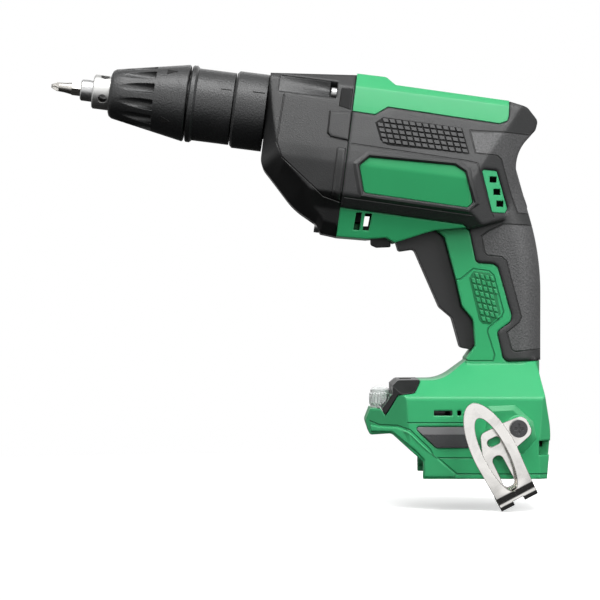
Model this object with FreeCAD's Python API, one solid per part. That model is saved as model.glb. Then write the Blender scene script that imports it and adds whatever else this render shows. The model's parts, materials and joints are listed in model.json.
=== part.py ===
import FreeCAD
import Part
import math
import os

from FreeCAD import Placement, Rotation, Vector

# Cordless drywall screwdriver without its battery pack, in millimetres.
# +X points to the rear, +Z up, and the nose points to -X. The origin is the middle of the battery seat
# plane under the foot. The nose, gears and motor lie along an axis tilted up towards the nose: the axis
# frame has its x along that axis to the rear, from the front face of the gear cover, and its z square to it.

# Axis frame
TILT = 7.3
AXIS_X = -108.9
AXIS_Z = 180.5

# Housing
SEAM_X = 42.4
INNER_LEAD = 15.0
WALL = 3.4
SKIN = 1.6
SKIN_PROUD = 0.5
REGION_GAP = 0.15
BODY_HALF = 30.5
HANDLE_HALF = 16.5
FOOT_HALF = 36.5
HANDLE_REAR_ROUND = 12.0
SEAT_DEPTH = 13.0
RAIL_REACH = 4.0
RAIL_HEIGHT = 3.0
FIT = 0.3
SLIDE_FIT = 0.05
EDGE = 0.6
# Cuts run out this far, well past the tool's widest place
REACH = 2.2 * FOOT_HALF

# Nose, as distances along the axis
TIP_X = -108.8
BIT_LENGTH = 28.0
BIT_HEX = 6.35
# Turned end of the bit: (distance from the tip, radius), up to where the hexagon starts
BIT_PROFILE = [(0, 0.6), (3.4, 2.2), (7.0, 2.4), (11.0, 3.0), (11.5, 3.0)]
BIT_FLUTE = 4.6
BIT_WEB = 0.45
BIT_FLUTE_LEAN = 9.0
HOLDER_FRONT = -93.3
HOLDER_REAR = -60.0
HOLDER_R = 5.4
LOCATOR_FRONT = -87.1
LOCATOR_R = 8.6
LOCATOR_WALL = 1.5
LOCATOR_LIP = 2.0
LOCATOR_LIP_GAP = 0.5
DUST_HOLE_R = 2.2
CONE_FRONT = -78.6
CONE_REAR = -39.8
CONE_FRONT_R = 12.0
CONE_REAR_R = 19.25
FLUTE_COUNT = 12
RING_FRONT = -38.9
RING_REAR = -35.4
NOSE_R = 18.1
NOSE_REAR = -17.0
COLLAR_R = 19.3
COLLAR_FRONT = -16.4
COLLAR_REAR = -0.4
NECK_R = 13.0
O_RING_HALF = 1.0
O_RING_DEPTH = 1.2
O_RING_GAP = 0.1

# Spindle and clutch
SPINDLE_R = 4.5
TAIL_R = 3.0
BUSH_R = 8.0
BUSH_LENGTH = 18.0
FLANGE_R = 11.0
FLANGE_X = -4.0
FLANGE_THICK = 4.0
WASHER_THICK = 1.5
WASHER_GAP = 0.1
BUSH_GAP = 0.4
DOG_HEIGHT = 3.0
DOG_COUNT = 3
DOG_GAP = 1.0
PUSH_TRAVEL = 3.6

# Gears
MODULE = 0.75
PINION_TEETH = 12
GEAR_TEETH = 40
PRESSURE = 20.0
BACKLASH = 0.22
PINION_STEP = 0.5
GEAR_WIDTH = 10.0
BEARING_R = 8.0
BEARING_WIDTH = 5.0
GEAR_HUB_R = 4.0
PLATE_X = 20.5
PLATE_THICK = 9.0

# Motor
SHAFT_R = 2.5
FAN_X = 45.0
FAN_WIDTH = 9.0
FAN_R = 23.0
STATOR_X = 60.0
STATOR_LENGTH = 26.0
STATOR_R = 24.0
ROTOR_R = 12.0
AIR_GAP = 0.4
REAR_BEARING_X = 97.0

# Shared fits and details
CEILING = 2.5
PRESS = 0.01
CAP_PROUD = 0.8
PLATE_SINK = 0.1
RIB_SINK = 0.6
RIB_THICK = 3.0
RIB_INSET = 3.0
RIB_TRIM = 3.0
RIB_TOP = 12.0
BOSS_R = 4.6
SCREW_R = 1.6
SCREW_HEAD_R = 3.2
SCREW_HEAD = 2.6
SOCKET_ACROSS = 3.0
SOCKET_DEPTH = 1.6
SCREW_CLEAR = 0.3
SCREW_SEAT = 8.0
SCREW_LENGTH = 18.0
POST_R = 4.0
POST_LENGTH = 12.0
COVER_SCREW_R = 1.5
COVER_HEAD_R = 2.9
UPPER_SCREW_Y = 15.4
UPPER_SCREW_Z = 13.1
LOWER_SCREW_Y = 9.0
LOWER_SCREW_Z = -52.8
FLANGE_FACE = 33.6
CHANNEL_WIDE = 9.0
CHANNEL_FRONT = 5.0
CHANNEL_FRONT_R = 20.6
CHANNEL_REAR_R = 17.4
LOWER_CHANNEL_X = 12.0
COVER_ROOM_LOW = 46.0
COVER_ROOM_HIGH = 6.0
GEAR_ROOM_R = 16.4
GEAR_CLEAR = 0.6
SPINDLE_CLEAR = 1.0
PINION_ROOM_R = 6.4
INNER_PLATE_R = 16.8
PLATE_LOBE_R = 12.0
PLATE_HOLE = 1.2
BEARING_X = 24.5
BEARING_RACE = 1.2
SHIELD_SINK = 0.4
NECK_FRONT = -34.0
GUIDE_R = 14.0
GUIDE_FRONT = -54.0
LOCATOR_REAR = -46.0
DUST_HOLE_X = 5.4
DUST_HOLE_TURN = 26.0
CONE_NOSE = 2.0
FLUTE_REAR = -56.2
FLUTE_R = 2.6
FLUTE_START = 3.6
FLUTE_FLOOR_R = 13.0
MAGNET_LENGTH = 3.0
MAGNET_R = 3.0
JOINT_LENGTH = 10.0
JOINT_R = 3.4
DOG_INNER = 7.2
DOG_ROOT = 0.5
DOG_ANGLE = 44.0
WASHER_R = 9.0
SPRING_R = 5.6
SPRING_WIRE = 1.2
SPRING_GAP = 0.2
POCKET_DEPTH = 6.0
TAIL_REAR = 18.0
ROOT_SHARE = 1.2
TIP_SHARE = 0.8
FLANK_POINTS = 4
FAN_HUB_R = 8.0
FAN_DISC = 1.5
BLADE_HALF = 0.7
BLADE_LEAN = 25.0
FAN_BLADES = 15
YOKE = 4.5
TOOTH_HALF = 3.0
COIL_END = 4.0
COIL_THICK = 2.4
COIL_BACK = 1.1
COIL_FRONT = 2.6
COIL_FIT = 0.05
COIL_COUNT = 6
SENSOR_THICK = 1.6

# Trigger, switch and reverse lever
PIN_X = -2.6
PIN_Z = 69.0
PIN_R = 1.6
PIN_HALF = 14.4
LUG_R = 3.4
TRIGGER_HALF = 9.5
TRIGGER_TURN = 6.0
TRIGGER_SIDE = [(-44.6, 116.8, 0.5), (-42.9, 111.3, 1.5), (-35.2, 112.4, 2), (-22.6, 83.6, 3),
                (-16.4, 78.4, 3), (-12.2, 63.4, 2), (-6.0, 62.4, 1.5), (-6.3, 77.0, 3), (-12.2, 83.8, 3),
                (-15.2, 98), (-20.7, 118.0), (-24.6, 121.4, 1), (-27.4, 121.4)]
TRIGGER_LUG = [(-9, 63.5), (PIN_X, PIN_Z - LUG_R), (PIN_X, PIN_Z + LUG_R), (-9, 76)]
TRIGGER_ROOM = 0.5
TRIGGER_STEPS = 9
SWITCH_FRONT = -6.0
SWITCH_REAR = 13.0
SWITCH_HALF = 12.9
SWITCH_LOW = 86.0
SWITCH_HIGH = 116.0
PLUNGER_R = 2.6
PLUNGER_Z = 104.0
PLUNGER_FRONT = -15.8
PLUNGER_WAY = 13.0
COIL_CLEAR = 0.4
COIL_WALL = 1.2
PLUNGER_LENGTH = 16.0
LEVER_FRONT = -56.8
LEVER_REAR = -46.8
LEVER_HALF = 3.6
LEVER_SLOT = 7.5
LEVER_TURN = 10.0
LEVER_ARM_Z = 124.0
LEVER_ARM_TALL = 2.4
LEVER_PIVOT_X = -62.0
LEVER_PIN_LOW = 118.6
LEVER_PIN_R = 1.5
LEVER_PIN_TOP = LEVER_ARM_Z + 1.0
LEVER_TAB = [(LEVER_FRONT, LEVER_ARM_Z), (LEVER_FRONT, 114.6, 1.5), (-53.8, 113.3, 1),
             (LEVER_REAR, 113.6, 0.6), (LEVER_REAR, 116), (-48.6, 119), (-48.6, LEVER_ARM_Z)]

# Foot
SEAT_REAR = 25.0
SEAT_HALF = 32.0
BLOCK_FRONT = -10.0
BLOCK_REAR = 14.0
BLOCK_HALF = 16.0
BLOCK_LIP = 2.0
BLOCK_LIP_TALL = 3.0
BLADE_LOW = 5.0
BLADE_LENGTH = 12.0
BLADE_TOP = 12.0
BLADE_THICK = 0.8
BLADE_PLACES = (-12.0, -4.0, 4.0, 12.0)
BOARD_FRONT = -28.0
BOARD_REAR = 17.0
BOARD_HALF = 24.0
BOARD_TALL = 12.0
BUTTON_X = -39.5
BUTTON_R = 3.0
BUTTON_FLOOR = 43.0
BUTTON_TRAVEL = 0.8
BUTTON_PROUD = 0.5
PANEL_PROUD = 0.2
LENS_X = -51.9
LENS_R = 4.9
LENS_TOP = 44.4
LED_Z = 31.6
LED_TALL = 2.0
LED_BACK_X = -52.7
LED_EDGE = 0.5
DOME_SHARE = 1.5
DOME_RIM = 2.0
BUMPER_DEPTH = 1.5
BUMPER_PROUD = 0.6
FOOT_SLOT_Z = 32.0
FOOT_SLOT_HALF = 1.2
FOOT_SLOT_DEPTH = 14.5
FOOT_SLOTS = ((-26.7, -17.8), (-15.4, -13.4))
STRAP_X = 24.4
STRAP_WIDE = 8.0
STRAP_Z = 11.6
STRAP_TALL = 7.0
STRAP_DEPTH = 9.0
SCREW_PLACES = [(1.6, 177.6), (-12.0, 124.2), (4.5, 78.0), (21.0, 46.4), (-37.4, 33.0), (24.4, 34.0)]
AIR_SLOTS = [[(-64.4, 130.2), (-61.6, 130.2), (-62.8, 121.6), (-65.8, 121.8)],
             [(-60.0, 129.8), (-56.6, 129.6), (-58.2, 121.4), (-61.2, 121.6)]]
AIR_SLOT_IN = 11.0

# Belt hook
HOOK_X = 14.2
HOOK_Z = 24.7
HOOK_BOSS_R = 6.5
HOOK_BOSS_PROUD = 0.8
HOOK_SCREW_R = 2.0
HOOK_HEAD_R = 4.3
HOOK_HEAD = 3.0
INSERT_R = 3.2
HOOK_POST_DEPTH = 10.5
INSERT_HOLE_DEPTH = 9.5
INSERT_DEPTH = 9.0
HOOK_SCREW_DEPTH = 8.0
CROSS_HALF = 0.6
CROSS_LONG = 2.4
CROSS_DEEP = 1.4
HOOK_LEAN = 27.0
HOOK_TOP_X = -9.9
HOOK_TOP_Z = 37.0
HOOK_THICK = 1.5
HOOK_GAP = 9.5
HOOK_LOOP_LENGTH = 54.0
HOOK_LOOP_HALF = 10.8
HOOK_HOLE_A = 27.5
HOOK_HOLE_LONG = 19.5
HOOK_HOLE_HALF = 5.8
HOOK_BEND = 47.5
HOOK_STRAP_HALF = 9.8
# Back plate of the hook and its slot, in slope coordinates: (along, across, corner radius)
HOOK_BACK = [(HOOK_BEND, -HOOK_STRAP_HALF), (HOOK_BEND, HOOK_STRAP_HALF), (30, HOOK_STRAP_HALF),
             (27, 21.5, 4), (17, 21.5, 4), (16, 10, 2), (16, -2, 3), (30, -7.5, 6)]
HOOK_SLOT = [(29, -2.6, 2.4), (29, 2.6, 2.4), (45, 3, 2.4), (45, -3, 2.4)]
HOOK_UPPER_SLOT = [(20.3, -1.0, 1.8), (20.3, 5.6, 1.8), (24.1, 5.6, 1.8), (24.1, -1.0, 1.8)]
HOOK_NOTCH_HALF = 2.8
HOOK_NOTCH_TALL = 2.4

# Leads
LEAD_R = 1.1
LEAD_STEP = 4.0
LEAD_BEND = 7.0
LEAD_REAR_X = 18.0
LEAD_DROP = 15.0
SUPPLY_Y = 9.0

MOTOR_DROP = MODULE * (PINION_TEETH + GEAR_TEETH) / 2
DOG_X = FLANGE_X + FLANGE_THICK
GEAR_X = DOG_X + 2 * DOG_HEIGHT + DOG_GAP
BUSH_REAR = FLANGE_X - WASHER_THICK - BUSH_GAP
BOARD_LOW = SEAT_DEPTH + CEILING + BLOCK_LIP_TALL
O_RING_X = (NECK_FRONT + NOSE_REAR) / 2

# Side outline of the upper housing in the axis frame: (x, z) or (x, z, corner radius)
BODY_SIDE = [(SEAM_X, 23.9), (56.8, 24.0, 2), (61.8, 20.4, 2), (119, 19.7, 8), (128, 18.0, 4),
             (134.2, 12.6, 2.5), (133.5, 8.3, 2), (121.9, -8.2, 20), (136, -33), (108, -44.0, 8),
             (90, -47.9), (84.5, -50.3, 4), (71.2, -56.5, 1), (66.8, -54.5, 1), (57.5, -56.4, 3), (SEAM_X, -57.1)]
# Half of the cross section of the upper housing: (y, z) from top to bottom
BODY_SECTION = [(0, 24.6), (9.5, 24.6, 2), (17, 17.3, 2), (20.6, 8, 3), (28.8, -14.8, 4),
                (BODY_HALF, -21, 8), (BODY_HALF - 0.3, -36, 2), (24, -43.6, 2), (20.5, -58), (0, -58)]
BODY_PLAN = [(SEAM_X, 40), (104, 31.0, 14), (121, 19.5, 10), (134.5, 8.0, 7), (134.5, 0)]
# Side outline of the handle in the world frame
HANDLE_SIDE = [(-9.8, 44), (27.2, 44), (27.3, 109, 130), (13.4, 158.4), (-4, 166), (-26, 150), (-24, 121.5),
               (-20.4, 118.2), (-15, 98, 30), (-11.8, 84, 5), (-6.4, 77.5, 4), (-5.4, 64.5, 2), (-9.8, 58.5)]
FOOT_SIDE = [(-31.9, 0), (28.6, 0), (30.6, 23, 40), (25.6, 52), (23.4, 64), (-6, 64), (-9.6, 57.6, 6),
             (-22, 47.9, 18), (-43.8, 47.6, 2), (-56.4, 36, 3), (-59.8, 27.5, 3), (-57.6, 20.7, 1.5),
             (-47.2, 21.9, 3), (-31.9, 8.3, 2)]
FOOT_SECTION = [(0, 66), (8, 63, 4), (FOOT_HALF - 1.2, 39.3, 3), (FOOT_HALF, 20, 20), (FOOT_HALF, 0), (0, 0)]
FOOT_PLAN = [(-60.5, 0), (-60.5, 15, 6), (-38, FOOT_HALF + 1, 10), (24, FOOT_HALF + 1, 8), (34.5, 28, 8),
             (34.5, 0)]
# Gear cover: outline near the middle plane and outline of its flat side, corner for corner
COVER_SIDE = [(0, 19.3), (SEAM_X, 23.9), (SEAM_X, -57.1), (34.4, -56.4), (31.5, -52), (19.5, -45.8, 35),
              (8.6, -34.6), (0.6, -26.6, 9)]
COVER_FLAT = [(5.7, 17), (SEAM_X, 20), (SEAM_X, -41.4), (36.5, -41.2), (32.5, -40.2), (23, -32.4, 30),
              (12.4, -23.4), (9.1, -18.9, 9)]
COVER_EDGE_HALF = 17.0


def inset_corners(points, inset):
    """Move a closed outline inwards; convex corner radii shrink with it and hollow ones grow."""
    corners = [(p[0], p[1], p[2] if len(p) > 2 else 0.0) for p in points]
    count = len(corners)
    area = sum(corners[i - 1][0] * corners[i][1] - corners[i][0] * corners[i - 1][1] for i in range(count))
    if area < 0:
        corners.reverse()
    moved = []
    for i, (a, b, radius) in enumerate(corners):
        before = corners[i - 1]
        after = corners[(i + 1) % count]
        d_in = unit(a - before[0], b - before[1])
        d_out = unit(after[0] - a, after[1] - b)
        turn = d_in[0] * d_out[1] - d_in[1] * d_out[0]
        cosine = d_in[0] * d_out[0] + d_in[1] * d_out[1]
        shift = inset / (1 + cosine)
        new_a = a - shift * (d_in[1] + d_out[1])
        new_b = b + shift * (d_in[0] + d_out[0])
        if radius > 0:
            radius = max(radius - inset, 0.0) if turn > 0 else radius + inset
        moved.append((new_a, new_b, radius))
    return moved


def unit(a, b):
    length = math.hypot(a, b)
    return (a / length, b / length)


def rounded_wire(points, place, inset=0.0):
    """Closed wire of straight runs and tangent corner arcs; place turns (a, b) into a point."""
    corners = inset_corners(points, inset)
    count = len(corners)
    stops = []
    for i, (a, b, radius) in enumerate(corners):
        before = corners[i - 1]
        after = corners[(i + 1) % count]
        d_in = unit(a - before[0], b - before[1])
        d_out = unit(after[0] - a, after[1] - b)
        cosine = max(-1.0, min(1.0, d_in[0] * d_out[0] + d_in[1] * d_out[1]))
        half_turn = math.acos(cosine) / 2
        if radius < 0.01 or half_turn < 0.002:
            stops.append([(a, b)])
            continue
        reach = radius * math.tan(half_turn)
        to_middle = unit(d_out[0] - d_in[0], d_out[1] - d_in[1])
        depth = radius / math.cos(half_turn) - radius
        stops.append([(a - reach * d_in[0], b - reach * d_in[1]),
                      (a + depth * to_middle[0], b + depth * to_middle[1]),
                      (a + reach * d_out[0], b + reach * d_out[1])])
    edges = []
    for i, stop in enumerate(stops):
        if len(stop) == 3:
            edges.append(Part.Arc(*[place(p) for p in stop]).toShape())
        start = place(stop[-1])
        end = place(stops[(i + 1) % count][0])
        if start.distanceToPoint(end) > 1e-6:
            edges.append(Part.LineSegment(start, end).toShape())
    return Part.Wire(edges)


def slab(points, half, inset=0.0):
    """Plate of the given side outline, symmetric about the middle plane."""
    wire = rounded_wire(points, lambda p: Vector(p[0], -half, p[1]), inset)
    return Part.Face(wire).extrude(Vector(0, 2 * half, 0))


def bar(half_section, start, end, inset=0.0):
    """Bar along X of a section given as half of its (y, z) outline."""
    other = [(-p[0],) + tuple(p[1:]) for p in reversed(half_section) if p[0] > 0]
    wire = rounded_wire(list(half_section) + other, lambda p: Vector(start, p[0], p[1]), inset)
    return Part.Face(wire).extrude(Vector(end - start, 0, 0))


def column(half_plan, low, high, inset=0.0):
    """Column along Z of a plan given as half of its (x, y) outline."""
    other = [(p[0], -p[1]) + tuple(p[2:]) for p in reversed(half_plan) if p[1] > 0]
    wire = rounded_wire(list(half_plan) + other, lambda p: Vector(p[0], p[1], low), inset)
    return Part.Face(wire).extrude(Vector(0, 0, high - low))


AXIS_FRAME = Placement(Vector(AXIS_X, 0, AXIS_Z), Rotation(Vector(0, 1, 0), TILT))


def on_axis(shape):
    """Move a shape from the axis frame to the world frame."""
    placed = shape.copy()
    placed.Placement = AXIS_FRAME.multiply(placed.Placement)
    return placed


def upper_body(inset):
    """Motor housing; its inner form runs on through the seam."""
    lead = SEAM_X if inset <= 0 else SEAM_X - INNER_LEAD
    side = [(lead, BODY_SIDE[0][1])] + BODY_SIDE[1:-1] + [(lead, BODY_SIDE[-1][1])]
    plan = [(lead, 0), (lead, BODY_PLAN[0][1])] + BODY_PLAN[1:]
    body = slab(side, REACH, inset).common(bar(BODY_SECTION, -REACH, 2 * REACH, inset))
    return on_axis(body.common(column(plan, -REACH, REACH, inset)))


def handle(inset):
    """Handle with its rear edges rounded."""
    form = slab(HANDLE_SIDE, HANDLE_HALF - inset, inset)
    rear = []
    for edge in form.Edges:
        box = edge.BoundBox
        if box.YLength > 0.01:
            continue
        middle = edge.CenterOfMass
        if middle.x > 12 and box.ZLength > 5:
            rear.append(edge)
    return form.makeFillet(HANDLE_REAR_ROUND - inset, rear)


def foot(inset):
    form = slab(FOOT_SIDE, REACH, inset).common(bar(FOOT_SECTION, -REACH, REACH, inset))
    return form.common(column(FOOT_PLAN, -REACH, REACH, inset))


def envelope(inset):
    return upper_body(inset).fuse([handle(inset), foot(inset)]).removeSplitter()


def cover_form(inset=0.0):
    """Outer form of the gear cover: bevelled side outline cut to the housing's section."""
    layers = []
    for outline, y in ((COVER_FLAT, -BODY_HALF), (COVER_SIDE, -COVER_EDGE_HALF),
                       (COVER_SIDE, COVER_EDGE_HALF), (COVER_FLAT, BODY_HALF)):
        layers.append(rounded_wire(outline, lambda p, y=y: Vector(p[0], y, p[1]), inset))
    return Part.makeLoft(layers, True, True).common(bar(BODY_SECTION, -REACH, REACH, inset))


def axis_point(x, z):
    """World (x, z) of a point given in the axis frame."""
    turn = math.radians(TILT)
    return (AXIS_X + x * math.cos(turn) + z * math.sin(turn),
            AXIS_Z - x * math.sin(turn) + z * math.cos(turn))


def turned(profile, drop=0.0):
    """Ring or rod about the axis, or about a line that far below it, from (x, radius) corners."""
    points = [Vector(x, 0, r) for x, r in profile]
    face = Part.Face(Part.makePolygon(points + points[:1]))
    shape = face.revolve(Vector(0, 0, 0), Vector(1, 0, 0), 360)
    shape.translate(Vector(0, 0, -drop))
    return shape


def rod(x0, x1, radius, y=0.0, z=0.0):
    """Cylinder along the axis frame's x."""
    return Part.makeCylinder(radius, x1 - x0, Vector(x0, y, z), Vector(1, 0, 0))


def cross_rod(x, z, radius, y0, y1):
    """Cylinder across the tool, in the world frame."""
    return Part.makeCylinder(radius, y1 - y0, Vector(x, y0, z), Vector(0, 1, 0))


def upright(x, radius, z0, z1):
    """Cylinder along Z on the middle plane."""
    return Part.makeCylinder(radius, z1 - z0, Vector(x, 0, z0))


def lengthwise(x0, x1, radius):
    """Cylinder along X at the switch plunger's height, in the world frame."""
    return Part.makeCylinder(radius, x1 - x0, Vector(x0, 0, PLUNGER_Z), Vector(1, 0, 0))


def block(x0, x1, y0, y1, z0, z1):
    return Part.makeBox(x1 - x0, y1 - y0, z1 - z0, Vector(x0, y0, z0))


def prism(points, y0, y1, inset=0.0):
    """World side outline carried from y0 to y1."""
    wire = rounded_wire(points, lambda p: Vector(p[0], y0, p[1]), inset)
    return Part.Face(wire).extrude(Vector(0, y1 - y0, 0))


def hexagon(x0, x1, across):
    points = [Vector(x0, across / math.sqrt(3) * math.cos(math.radians(60 * i)),
                     across / math.sqrt(3) * math.sin(math.radians(60 * i))) for i in range(6)]
    return Part.Face(Part.makePolygon(points + points[:1])).extrude(Vector(x1 - x0, 0, 0))


def around(shape, count, start=0.0):
    """Copies of a shape spaced evenly about the axis."""
    return [shape.rotated(Vector(0, 0, 0), Vector(1, 0, 0), start + 360.0 * i / count) for i in range(count)]


def tube_path(points, radius, wire_radius):
    """Lead of round wire along straight runs joined by tangent arcs."""
    edges = []
    start = points[0]
    for i in range(1, len(points) - 1):
        d_in = (points[i] - points[i - 1]).normalize()
        d_out = (points[i + 1] - points[i]).normalize()
        half_turn = d_in.getAngle(d_out) / 2
        reach = radius * math.tan(half_turn)
        depth = radius / math.cos(half_turn) - radius
        entry = points[i] - d_in * reach
        leave = points[i] + d_out * reach
        middle = points[i] + (d_out - d_in).normalize() * depth
        edges.append(Part.LineSegment(start, entry).toShape())
        edges.append(Part.Arc(entry, middle, leave).toShape())
        start = leave
    edges.append(Part.LineSegment(start, points[-1]).toShape())
    path = Part.Wire(edges)
    ring = Part.Wire(Part.makeCircle(wire_radius, points[0], points[1] - points[0]))
    return path.makePipeShell([ring], True, False)


def gear_face(teeth, x0, width, drop, turn):
    """Spur gear with involute flanks; turn places a tooth at that angle from straight up."""
    pitch_r = MODULE * teeth / 2
    base_r = pitch_r * math.cos(math.radians(PRESSURE))
    root_r = pitch_r - ROOT_SHARE * MODULE
    tip_r = pitch_r + TIP_SHARE * MODULE
    spread = math.tan(math.radians(PRESSURE)) - math.radians(PRESSURE)
    half = math.pi / (2 * teeth) - BACKLASH / (2 * pitch_r) + spread
    flank = [(root_r, half)]
    for i in range(FLANK_POINTS):
        r = max(base_r, root_r) + (tip_r - max(base_r, root_r)) * i / (FLANK_POINTS - 1)
        lean = math.acos(min(1.0, base_r / r))
        flank.append((r, half - (math.tan(lean) - lean)))
    points = []
    for tooth in range(teeth):
        centre = math.radians(turn) + 2 * math.pi * tooth / teeth
        for r, angle in flank:
            points.append(Vector(x0, r * math.sin(centre - angle), r * math.cos(centre - angle)))
        for r, angle in reversed(flank):
            points.append(Vector(x0, r * math.sin(centre + angle), r * math.cos(centre + angle)))
    body = Part.Face(Part.makePolygon(points + points[:1])).extrude(Vector(width, 0, 0))
    body.translate(Vector(0, 0, -drop))
    return body


def half_space(side):
    """Everything on one side of the middle plane: -1 is the left half, 1 the right half."""
    return block(-300, 300, 0, 100, -100, 400) if side > 0 else block(-300, 300, -100, 0, -100, 400)


# Side regions of the housing, as world outlines
CAP_BORDER = [axis_point(x, z) for x, z in
              [(SEAM_X - 9, 5.3), (53.7, 4.8), (59.5, 9.4), (115.2, 8.2), (118.8, 10.2), (119.3, 12.6),
               (117.6, 40)]]
CAP_REGION = CAP_BORDER + [axis_point(SEAM_X - 9, 40)]
GRIP_REGION = (CAP_BORDER + [(60, 230), (60, 58.4)]
               + [(10.5, 56.8, 2), (8.4, 58.4, 2), (5.4, 71.6, 2), (12.2, 76.6, 3), (12.6, 79.6, 2),
                  (5.8, 103.4, 2), (3.6, 105, 1), (-4.2, 105.5, 2), (-5.2, 106.8, 1), (-8.2, 121.4, 2)]
               + [axis_point(x, z) for x, z in [(103.5, -43.3), (SEAM_X - 9, -42.6)]])
PLATE_REGION = [axis_point(*p) + (2,) for p in
                [(49.0, -21.4), (53.5, -16.7), (95.5, -15.3), (100.9, -18.0), (106.6, -32.2), (104.2, -35.2),
                 (53.0, -34.4)]]
VENT_REGION = [(-3.1, 151.2, 1), (4.8, 150.7, 1.5), (10.4, 132.2, 1), (9.2, 130, 1), (2.4, 130.3, 1)]
VENT_WINDOWS = [(2.9, 146.4), (4.9, 140.4), (6.5, 134.6)]
VENT_HALF_WIDE = 1.8
VENT_HALF_TALL = 1.5
VENT_IN = 14.0
PANEL_REGION = [(-44.3, 52), (-33.2, 52), (-33.4, 46.5, 2), (-36.0, 41.6, 2), (-43.9, 40.7, 1), (-50.0, 30.6),
                (-51.9, 33.6), (-46.7, 40.9, 1), (-47.0, 52)]
LENS_REGION = [(-47.2, 60), (-46.9, 40.9), (-52.1, 33.6), (-70, 33.6), (-70, 60)]
BUMPER_REGION = [(-36.6, 25.4, 1), (-11.4, 25.4, 1), (-9.2, 15.1, 1), (-25.6, 15.1, 2)]


def skin_layer(outer, inner):
    """Layer of the housing's outer form between two depths."""
    return envelope(outer).cut(envelope(inner))


def trigger_form(half, grow):
    """Trigger paddle with the lug that reaches its pin."""
    paddle = slab(TRIGGER_SIDE, half, -grow)
    lug = slab(TRIGGER_LUG, half, -grow).fuse(cross_rod(PIN_X, PIN_Z, LUG_R + grow, -half, half))
    return paddle.fuse(lug)


def turned_trigger(shape, angle):
    return shape.rotated(Vector(PIN_X, 0, PIN_Z), Vector(0, 1, 0), angle)


def cavity():
    """Room inside the housing, above the battery seat's ceiling."""
    low = foot(WALL).common(block(-100, 100, -100, 100, SEAT_DEPTH + CEILING, 200))
    return upper_body(WALL).fuse([handle(WALL), low])


def ribs():
    """Plates across the motor room that carry the stator and the rear bearing."""
    inside = upper_body(WALL - RIB_SINK)
    plates = []
    for x in (STATOR_X + RIB_INSET, STATOR_X + STATOR_LENGTH - RIB_INSET - RIB_THICK):
        plate = bar_window(x, x + RIB_THICK).cut(rod(x - 1, x + RIB_THICK + 1, STATOR_R, 0, -MOTOR_DROP))
        plates.append(on_axis(plate).common(inside))
    x = REAR_BEARING_X - 1.5
    rear = block(x, REAR_BEARING_X + BEARING_WIDTH, -60, 60, -MOTOR_DROP - BEARING_R - 4, RIB_TOP)
    rear = rear.cut(rod(REAR_BEARING_X, x + 20, BEARING_R, 0, -MOTOR_DROP))
    rear = rear.cut(rod(x - 1, x + 20, SHAFT_R + 2, 0, -MOTOR_DROP))
    plates.append(on_axis(rear).common(inside))
    return plates


def bar_window(x0, x1):
    """Plate across the tool, open above and below the motor for air and leads."""
    tall = MOTOR_DROP + STATOR_R
    return block(x0, x1, -60, 60, -tall + RIB_TRIM, RIB_TOP)


def screw_bosses(side):
    """Screw posts of one half: plain posts on the left, counterbored posts on the right."""
    posts = []
    for x, z in SCREW_PLACES:
        end = side * 60
        posts.append(cross_rod(x, z, BOSS_R, min(0, end), max(0, end)))
    return posts


def screw_cuts(side):
    cuts = []
    for x, z in SCREW_PLACES:
        if side > 0:
            cuts.append(cross_rod(x, z, SCREW_R + SCREW_CLEAR, -1, SCREW_SEAT + 1))
        else:
            cuts.append(cross_rod(x, z, SCREW_R + PRESS, -SCREW_LENGTH + SCREW_SEAT - 1, 1))
    return cuts + screw_ways() if side > 0 else cuts


def cover_screw_places():
    """(y, z) of the four gear cover screws in the axis frame."""
    pairs = ((UPPER_SCREW_Y, UPPER_SCREW_Z), (LOWER_SCREW_Y, LOWER_SCREW_Z))
    return [(side * y, z) for y, z in pairs for side in (-1, 1)]


def vent_windows(side):
    """Cuts for the air windows of one side."""
    y0, y1 = sorted((side * VENT_IN, side * REACH))
    return [block(x - VENT_HALF_WIDE, x + VENT_HALF_WIDE, y0, y1, z - VENT_HALF_TALL, z + VENT_HALF_TALL)
            for x, z in VENT_WINDOWS]


def screw_ways():
    """Clear ways to the heads of the housing screws, on the right side."""
    return [cross_rod(x, z, SCREW_HEAD_R + SCREW_CLEAR, SCREW_SEAT, REACH) for x, z in SCREW_PLACES]


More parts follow.
